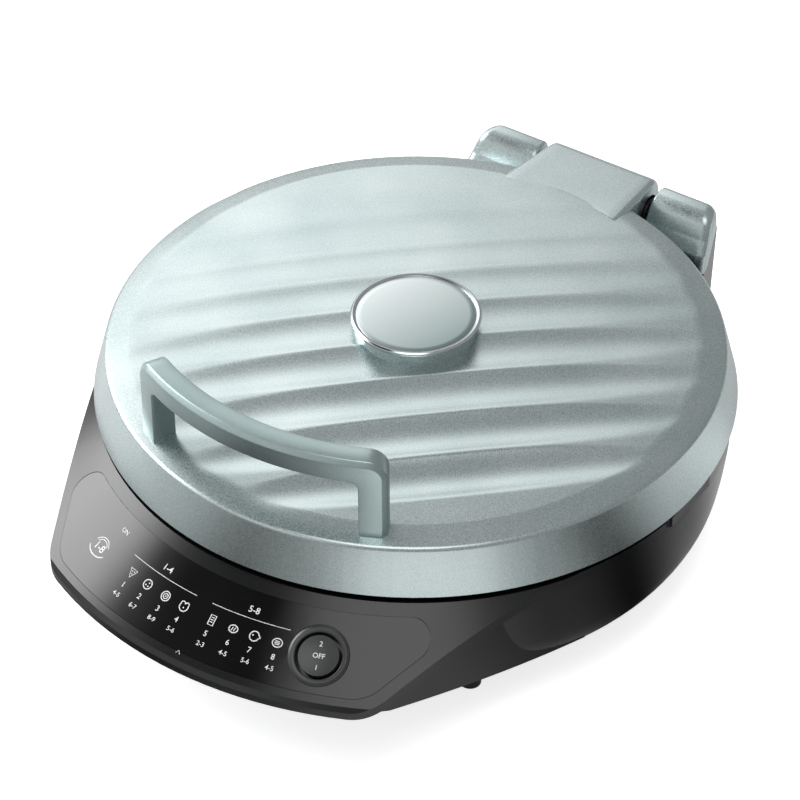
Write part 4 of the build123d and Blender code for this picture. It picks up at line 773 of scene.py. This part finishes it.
# %% The foot tree: a tapered rubber foot with a recess for its screw
foot_tree, given, result = new_tree(
    "rubber_feet_set", ["Radius", "Height", "Recess Radius", "Recess Depth", "Hole Radius", "Turn"],
)
foot_bottom, recess_depth, hole_length = (
    add_node(foot_tree, "ShaderNodeMath", {0: given[label], 1: share}, operation="MULTIPLY")
    for label, share in (("Radius", 0.93), ("Recess Depth", 2.0), ("Height", 3.0))
)
foot = add_node(foot_tree, "GeometryNodeMeshCone", {
    "Vertices": 40, "Radius Top": given["Radius"], "Radius Bottom": foot_bottom, "Depth": given["Height"],
})
holes = [add_node(foot_tree, "GeometryNodeMeshCylinder", sizes) for sizes in (
    {"Vertices": 28, "Radius": given["Recess Radius"], "Depth": recess_depth},
    {"Vertices": 16, "Radius": given["Hole Radius"], "Depth": hole_length},
)]
hollowed = {"Mesh 1": foot, "Mesh 2": holes}
foot = add_node(foot_tree, "GeometryNodeMeshBoolean", hollowed, operation="DIFFERENCE")
repeated(foot_tree, foot, given, result)

# %% Put the screws and the feet in their places
SMALL_SCREW = {"Head Radius": 2.4, "Head Height": 1.5, "Shank Radius": 1.5, "Turn": 0.0}
HANDLE_SCREW = {"Head Radius": 4.0, "Head Height": 1.5, "Shank Radius": 2.0, "Turn": 0.0}
FOOT_CIRCLE, FOOT_SOLE = 141.0, -88.0


def around_axis(radius, count, start, rise):
    """Places on a circle round the pan axis."""
    return [ring(radius, radians(start + 360 * number / count), rise) for number in range(count)]


screw_sets = (
    ("bottom_cover_screws", around_axis(88.5, 4, 45, -82.0), 8.0, SMALL_SCREW, "base"),
    ("foot_screws", around_axis(FOOT_CIRCLE, 4, 45, -86.5), 12.0, SMALL_SCREW, "base"),
    ("housing_screws", around_axis(157.5, 8, 22.5, -7.1), 12.0, {**SMALL_SCREW, "Turn": pi}, "base"),
    ("frame_screws", around_axis(156.0, 8, 22.5, 1.8), 12.9, SMALL_SCREW, "lid"),
    ("bracket_screws", [ring(156.46, radians(turn), 1.8) for turn in (85.6, 94.4)], 4.65, SMALL_SCREW, "lid"),
    ("handle_screws", [ring(HANDLE_RING, radians(turn), 21.6) for turn in (-64.05, -115.95)],
     22.0, HANDLE_SCREW, "lid"),
)
for name, places, shank_length, sizes, body in screw_sets:
    baked(name, places, screw_tree, {**sizes, "Shank Length": shank_length}, zinc_steel, body)
foot_sizes = {
    "Radius": 6.25, "Height": 8.0, "Recess Radius": 3.6, "Recess Depth": 3.0, "Hole Radius": 1.8, "Turn": 0.0,
}
feet = around_axis(FOOT_CIRCLE, 4, 45, FOOT_SOLE)
baked("rubber_feet", feet, foot_tree, foot_sizes, foot_rubber, "base")

# %% [markdown]
# ## Marks printed on the film
# The real film carries words in white ink: dish names under small pictures, cooking times,
# and two headings over thin lines. Words are left off. Their places hold plain numbers, simple
# shapes and ON and OFF, printed at the same size and place. Each mark is drawn flat, in
# millimetres, and then laid on the sloping deck, whose surface is part of a cone.

# %% Lay a flat drawing on the deck
FILM_PROUD = 0.15


def on_deck(angle, radius, lift=FILM_PROUD):
    """A placing rule: x runs along the rim, y up the slope, from a place on the deck."""
    turn = radians(angle)
    rise = DECK_TOP - (radius - DECK_START) * tan(DECK_SLOPE)
    start = Vector((radius * sin(turn), -radius * cos(turn), rise))
    along = Vector((cos(turn), sin(turn), 0))
    up_slope = Vector((-cos(DECK_SLOPE) * sin(turn), cos(DECK_SLOPE) * cos(turn), sin(DECK_SLOPE)))
    out = along.cross(up_slope)

    def place(x, y, z=0.0):
        return at(*(start + along * x + up_slope * y + out * (z + lift)))
    return place


# %% The bezel round the rocker: a low ring with a round outer slope
SWITCH_PLACE = (19.4, 194.6)
bezel_outline = rounded([
    (11.9, -8, 0), (15.5, -8, 0), (15.5, 0.2, 0.2), (14.0, 1.0, 1.2), (12.4, 0.8, 0.4), (11.9, 0.2, 0.3),
], 5)
make_piece(
    "switch_bezel_rounded", [turned(bezel_outline)], switch_finish, "base", ["switch_bezel"], "switch_black",
    smooth=50, place=on_deck(*SWITCH_PLACE, lift=0.0),
)

# %% Marks as flat drawings
CAPITAL_SHARE, BOLDER = 0.72, 0.012


def words(text, height):
    """Numbers, ON or OFF as flat points and faces, centred, at a height in millimetres."""
    curve = bpy.data.curves.new("mark", "FONT")
    curve.body = text
    curve.size = height / CAPITAL_SHARE
    curve.align_x, curve.align_y = "CENTER", "CENTER"
    curve.resolution_u = 3
    curve.offset = BOLDER * height
    drawn = in_scene("mark", curve)
    mesh = bpy.data.meshes.new_from_object(drawn.evaluated_get(bpy.context.evaluated_depsgraph_get()))
    points = [(vertex.co.x, vertex.co.y) for vertex in mesh.vertices]
    faces = [list(face.vertices) for face in mesh.polygons]
    bpy.data.objects.remove(drawn)
    return points, faces


def stroke(line, width, closed=False):
    """A line of flat points drawn with a pen of a width."""
    points, faces = [], []
    count = len(line)
    for index, (x, y) in enumerate(line):
        before = Vector(line[index - 1] if closed or index else line[0])
        after = Vector(line[(index + 1) % count] if closed or index < count - 1 else line[-1])
        side = (after - before).orthogonal().normalized() * width / 2
        points += [(x + side.x, y + side.y), (x - side.x, y - side.y)]
    for index in range(count if closed else count - 1):
        after = (index + 1) % count
        faces.append([2 * index, 2 * index + 1, 2 * after + 1, 2 * after])
    return points, faces


def arc(radius, start=0, end=360, steps=24, x=0, y=0, squash=1.0):
    """Points of an arc in degrees."""
    turns = [radians(start + (end - start) * step / steps) for step in range(steps + 1)]
    points = [(x + radius * cos(turn), y + radius * squash * sin(turn)) for turn in turns]
    return points[:-1] if abs(end - start) == 360 else points


def disc(radius, x=0, y=0):
    """A small filled spot."""
    spot = arc(radius, steps=10, x=x, y=y)
    return spot, [list(range(len(spot)))]


# %% Eight pictures of simple shapes, one for each programme
triangle = [(-2.4, 2.0), (2.4, 2.0), (0, -2.8)]
card = [(-1.5, -2.6), (1.5, -2.6), (1.5, 2.6), (-1.5, 2.6)]
pictures = [
    [stroke(triangle, 0.55, True), *[disc(0.35, x, y) for x, y in ((-0.6, 0.8), (0.7, 0.9), (0, -0.6))]],
    [stroke(arc(2.5), 0.55, True), *[disc(0.4, x, y) for x, y in ((-0.9, -0.6), (0.7, -0.9), (0.5, 0.9))]],
    [stroke(arc(2.5), 0.55, True), stroke(arc(1.35, steps=14), 0.5, True), disc(0.4)],
    [stroke(arc(2.5, 150, 390), 0.55),
     *[stroke(arc(1.2, 0, 180, 8, x, 1.3), 0.5) for x in (-1.25, 1.25)], disc(0.4, 0, -0.6)],
    [stroke(card, 0.55, True), *[stroke([(-0.8, y), (0.8, y)], 0.45) for y in (-1, 0.2, 1.4)]],
    [stroke(arc(2.4, squash=0.8), 0.55, True),
     *[stroke([(x, -1), (x + 0.6, 0.9)], 0.45) for x in (-0.9, 0.4)]],
    [stroke(arc(2.5, 20, 340), 0.55),
     *[stroke([(2.3, y), (3.4, 0)], 0.5) for y in (0.9, -0.9)], disc(0.45, -0.9, 0.4)],
    [stroke(arc(2.6, squash=0.85), 0.55, True),
     *[stroke([(-x, y), (x, y)], 0.45) for x, y in ((1.2, 0.8), (1.5, 0), (1.2, -0.8))]],
]

# %% All marks with their places, by angle and distance from the pan axis
PICTURE_ANGLES = (-14.1, -10.6, -6.8, -3.2, 2.0, 5.7, 9.2, 12.9)
PICTURE_ROW, NUMBER_ROW, TIME_ROW, HEADING_ROW, HEADING_LINE = 193.0, 199.2, 204.0, 182.8, 186.5
LINE_PARTS = 24
times = ("4-5", "6-7", "8-9", "5-6", "2-3", "4-5", "5-6", "4-5")
marks = []
for number, (angle, picture, time) in enumerate(zip(PICTURE_ANGLES, pictures, times)):
    marks += [(drawing, on_deck(angle, PICTURE_ROW)) for drawing in picture]
    marks.append((words(str(number + 1), 3.0), on_deck(angle, NUMBER_ROW)))
    marks.append((words(time, 2.5), on_deck(angle, TIME_ROW)))
marks.append((words("1-4", 3.4), on_deck(-9.2, HEADING_ROW)))
marks.append((words("5-8", 3.4), on_deck(7.7, HEADING_ROW)))
marks.append((words("ON", 2.4), on_deck(-20.4, 182.0)))
for start, end in ((-15.9, -2.2), (0.8, 14.3)):
    half = radians((end - start) / LINE_PARTS / 2)
    line = [(HEADING_LINE * sin(turn), HEADING_LINE * (1 - cos(turn))) for turn in (-half, half)]
    for step in range(LINE_PARTS):
        middle = start + (end - start) * (step + 0.5) / LINE_PARTS
        marks.append((stroke(line, 0.3), on_deck(middle, HEADING_LINE)))
round_mark = [
    stroke(arc(5.6, 25, 155), 0.45), stroke(arc(4.4, 30, 150), 0.45),
    stroke(arc(7.0, 205, 335, squash=0.7), 0.6), words("1-8", 4.2),
]
marks += [(drawing, on_deck(-22.1, 194.6)) for drawing in round_mark]
marks.append((stroke([(-1.2, -1.0), (0, 0.6), (1.2, -1.0)], 0.3), on_deck(-0.4, 210.6)))
print("marks on the film:", len(marks))

# %% Print them on the film and on the rocker
INK, SEARCH_ABOVE, SEARCH_FAR = 0.07 * MM, 4 * MM, 10 * MM


def printed(name, marks, body, carrier):
    """Lays flat marks on a CAD piece's skin, each point sunk along the deck's normal until it meets it."""
    skin = BVHTree.FromObject(cad_nodes[carrier], bpy.context.evaluated_depsgraph_get())
    parts = []
    for (points, faces), place in marks:
        out = (place(0, 0, 1) - place(0, 0, 0)).normalized()
        laid = []
        for point in points:
            met = skin.ray_cast(place(*point) + out * SEARCH_ABOVE, -out, SEARCH_FAR)[0]
            laid.append(tuple((met or place(*point)) + out * INK))
        parts.append((laid, faces))
    make_piece(name, parts, print_white, body, place=lambda *point: Vector(point))


printed("film_print", marks, "base", "control_film")
rocker_marks = [
    (words(text, 2.6), on_deck(SWITCH_PLACE[0], SWITCH_PLACE[1] + up))
    for text, up in (("1", 5), ("OFF", 0), ("2", -5))
]
printed("rocker_print", rocker_marks, "switch_rocker", "switch_rocker")

# %% [markdown]
# ## Floor, light and camera
# The photograph is a studio picture on white. In a studio the background is lit apart from the
# object, and the object mirrors cards that stand outside the picture: bright ones behind, to the
# left and above, and dark ones between them that draw the edges of the bands. The camera sees a
# white floor and a white sky. Surfaces see the cards: soft spots in the sky, and a ring of
# brighter and darker stretches on the floor, by the angle round the object. From below, the
# floor is clear, so that the underside can be looked at as well.

# %% The cards: by direction in the sky, by angle round the object on the floor
KEY_AIM, KEY_BRIGHT, SKY_DARK, FLOOR_GLOW = (-0.87, 0.5, 0), 1.38, 0.36, 0.75
# Where a card in the sky stands, the cosines at its edge and its middle, and how bright it is.
CARDS_ABOVE = (
    ((-0.87, 0.2, 0.45), 0.74, 0.85, 0.1),
    ((-0.88, -0.1, 0.5), 0.93, 0.99, 6.5),
    ((-0.95, -0.25, 0.3), 0.8, 0.97, 1.2),
    ((0.1, -0.32, 0.94), 0.93, 0.99, 2.2),
    ((-0.4, -0.8, 0.45), 0.8, 0.98, 0.5),
    ((-0.40, -0.36, 0.83), 0.86, 0.965, -0.36),
)
# Degrees from the right-hand side towards the back, and how bright the floor is there.
FLOOR_CARDS = (
    (-180, 1.0), (-156, 1.05), (-127, 0.6), (-104, 0.1), (-85, 0.35), (-61, 1.2), (-42, 1.1), (-21, 0.4),
    (-1, 0.02), (20, 0.65), (39, 1.1), (52, 0.7), (90, 0.7), (140, 0.9), (180, 1.0),
)


def viewers(tree):
    """Two switches: 1 for what the camera sees, directly or through glass, and 1 for what is mirrored."""
    rays = add_node(tree, "ShaderNodeLightPath").outputs
    seen = {0: rays["Is Camera Ray"], 1: rays["Is Transmission Ray"]}
    return add_node(tree, "ShaderNodeMath", seen, operation="MAXIMUM"), rays["Is Glossy Ray"]


def softbox_share(tree, direction, aim, edge, middle):
    """How far a direction points at a softbox: 0 outside its edge, 1 near its middle."""
    both = {0: direction, 1: Vector(aim).normalized()}
    facing = add_node(tree, "ShaderNodeVectorMath", both, operation="DOT_PRODUCT")
    limits = {"Value": facing, "From Min": edge, "From Max": middle}
    return add_node(tree, "ShaderNodeMapRange", limits, interpolation_type="SMOOTHSTEP")


print("cards in the sky:", len(CARDS_ABOVE) + 1, "on the floor:", len(FLOOR_CARDS))

# %% White floor, seen from above only
FAR = 6
floor_mesh = bpy.data.meshes.new("floor")
floor_mesh.from_pydata([(-FAR, -FAR, 0), (FAR, -FAR, 0), (FAR, FAR, 0), (-FAR, FAR, 0)], [], [[0, 1, 2, 3]])
floor = in_scene("floor", floor_mesh)
floor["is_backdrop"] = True
floor_finish, floor_tree, floor_shader, floor_where = new_finish(
    "white_studio_floor", Roughness=0.9, Specular_IOR_Level=0.2, Emission_Color=(1, 1, 1, 1),
)
direct, mirrored = viewers(floor_tree)
floor_place = add_node(floor_tree, "ShaderNodeSeparateXYZ", {"Vector": floor_where}).outputs
sideways = {0: floor_place["Y"], 1: floor_place["X"]}
around = add_node(floor_tree, "ShaderNodeMath", sideways, operation="ARCTAN2")
around = add_node(floor_tree, "ShaderNodeMapRange", {"Value": around, "From Min": -pi, "From Max": pi})
cards = add_node(floor_tree, "ShaderNodeValToRGB", {"Fac": around})
cards.color_ramp.interpolation = "EASE"
stops = cards.color_ramp.elements
stops.remove(stops[-1])
for number, (turn, bright) in enumerate(FLOOR_CARDS):
    stop = stops.new((turn + 180) / 360) if number else stops[0]
    stop.color = (bright, bright, bright, 1)
# Painted shadow: close to the object the floor glow that surfaces mirror drops to 0.55, as if shaded round
# the object's foot.
away = add_node(floor_tree, "ShaderNodeVectorMath", {0: floor_where}, operation="LENGTH")
painted_shadow_near = add_node(floor_tree, "ShaderNodeMapRange", {
    "Value": away, "From Min": 0.14, "From Max": 0.34, "To Min": 0.55,
}, interpolation_type="SMOOTHSTEP")
glow = add_node(floor_tree, "ShaderNodeMath", {0: painted_shadow_near, 1: cards}, operation="MULTIPLY")
glow = add_node(floor_tree, "ShaderNodeMath", {0: mirrored, 1: glow}, operation="MULTIPLY")
glow = add_node(floor_tree, "ShaderNodeMath", {0: direct, 1: FLOOR_GLOW, 2: glow}, operation="MULTIPLY_ADD")
plain = {"Factor": mirrored, "A": paint("E6E7E7"), "B": (0, 0, 0, 1)}
plain = add_node(floor_tree, "ShaderNodeMix", plain, data_type="RGBA")
feed(floor_tree, floor_shader, {"Base Color": plain, "Emission Strength": glow})
from_below = add_node(floor_tree, "ShaderNodeNewGeometry").outputs["Backfacing"]
clear = add_node(floor_tree, "ShaderNodeBsdfTransparent")
one_sided = add_node(floor_tree, "ShaderNodeMixShader", {"Fac": from_below, 1: floor_shader, 2: clear})
feed(floor_tree, floor_tree.nodes["Material Output"], {"Surface": one_sided})
floor_mesh.materials.append(floor_finish)
print("floor nodes:", len(floor_tree.nodes))

# %% World: white for the camera, the key card and the other cards for surfaces
world = bpy.data.worlds.new("studio")
bpy.context.scene.world = world
world.use_nodes = True
sky = world.node_tree
toward = add_node(sky, "ShaderNodeTexCoord").outputs["Generated"]
level_turn = add_node(sky, "ShaderNodeVectorMath", {0: toward, 1: (1, 1, 0)}, operation="MULTIPLY")
level_turn = add_node(sky, "ShaderNodeVectorMath", {0: level_turn}, operation="NORMALIZE")
height = add_node(sky, "ShaderNodeSeparateXYZ", {"Vector": toward}).outputs["Z"]
below_top = {"Value": height, "From Min": 0.85, "From Max": 0.58}
below_top = add_node(sky, "ShaderNodeMapRange", below_top, interpolation_type="SMOOTHSTEP")
key_side = softbox_share(sky, level_turn, KEY_AIM, 0.72, 0.97)
key_card = add_node(sky, "ShaderNodeMath", {0: key_side, 1: below_top}, operation="MULTIPLY")
level = add_node(sky, "ShaderNodeMath", {0: key_card, 1: KEY_BRIGHT}, operation="MULTIPLY")
for aim, edge, middle, bright in CARDS_ABOVE:
    share = softbox_share(sky, toward, aim, edge, middle)
    level = add_node(sky, "ShaderNodeMath", {0: share, 1: bright, 2: level}, operation="MULTIPLY_ADD")
above_floor = {"Value": height, "From Min": 0.1, "From Max": 0.5, "To Min": 0.05}
above_floor = add_node(sky, "ShaderNodeMapRange", above_floor, interpolation_type="SMOOTHSTEP")
level = add_node(sky, "ShaderNodeMath", {0: level, 1: above_floor, 2: SKY_DARK}, operation="MULTIPLY_ADD")
level = add_node(sky, "ShaderNodeMix", {"Factor": viewers(sky)[0], "A": level, "B": 1.0}, data_type="FLOAT")
feed(sky, sky.nodes["Background"], {"Strength": level, "Color": (1, 1, 1, 1)})
print("world nodes:", len(sky.nodes))

# %% Lamps
LAMP_AIM = Vector((0, 0.01, 0.08))


def soft_light(name, place, size, power):
    """A square softbox that faces the object."""
    lamp = bpy.data.lights.new(name, "AREA")
    lamp.shape, lamp.size, lamp.energy = "SQUARE", size, power
    holder = in_scene(name, lamp)
    holder.location = place
    holder.visible_glossy = False
    holder.rotation_euler = (LAMP_AIM - Vector(place)).to_track_quat("-Z", "Y").to_euler()


soft_light("key_softbox", (-1.5, 1.0, 1.6), 1.1, 14)
soft_light("top_softbox", (0.2, 0.0, 2.2), 1.2, 12)

# %% Camera at the photograph's angle
CAMERA_TURN, CAMERA_HEIGHT, CAMERA_DISTANCE = radians(33.62), radians(39.71), 1.8619
back = Vector((sin(CAMERA_TURN), -cos(CAMERA_TURN), tan(CAMERA_HEIGHT))).normalized()
lens = bpy.data.cameras.new("photo_view")
lens.lens, lens.sensor_width = 158.445, 36
lens.shift_x, lens.shift_y = -0.0199, -0.0278
lens.clip_start = 0.05
camera = in_scene("photo_view", lens)
camera.location = Vector((0, PAN_Y * MM, LID_EDGE * MM)) + back * CAMERA_DISTANCE
camera.rotation_euler = back.to_track_quat("Z", "Y").to_euler()
bpy.context.scene.camera = camera
bpy.context.scene.view_settings.view_transform = "Standard"
print("camera at", [round(value, 3) for value in camera.location])

# %% [markdown]
# ## Size beside the CAD model
# The box of the visual model is set beside the CAD model's box. Blender changes the looks and
# not the size, so the two agree to a fraction of a millimetre.

# %% Compare the boxes and finish
low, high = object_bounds()
sides = zip([*low, *high], [*cad_low, *cad_high])
print("visual box minus CAD box in mm:", [round((visual - cad) * 1000, 2) for visual, cad in sides])
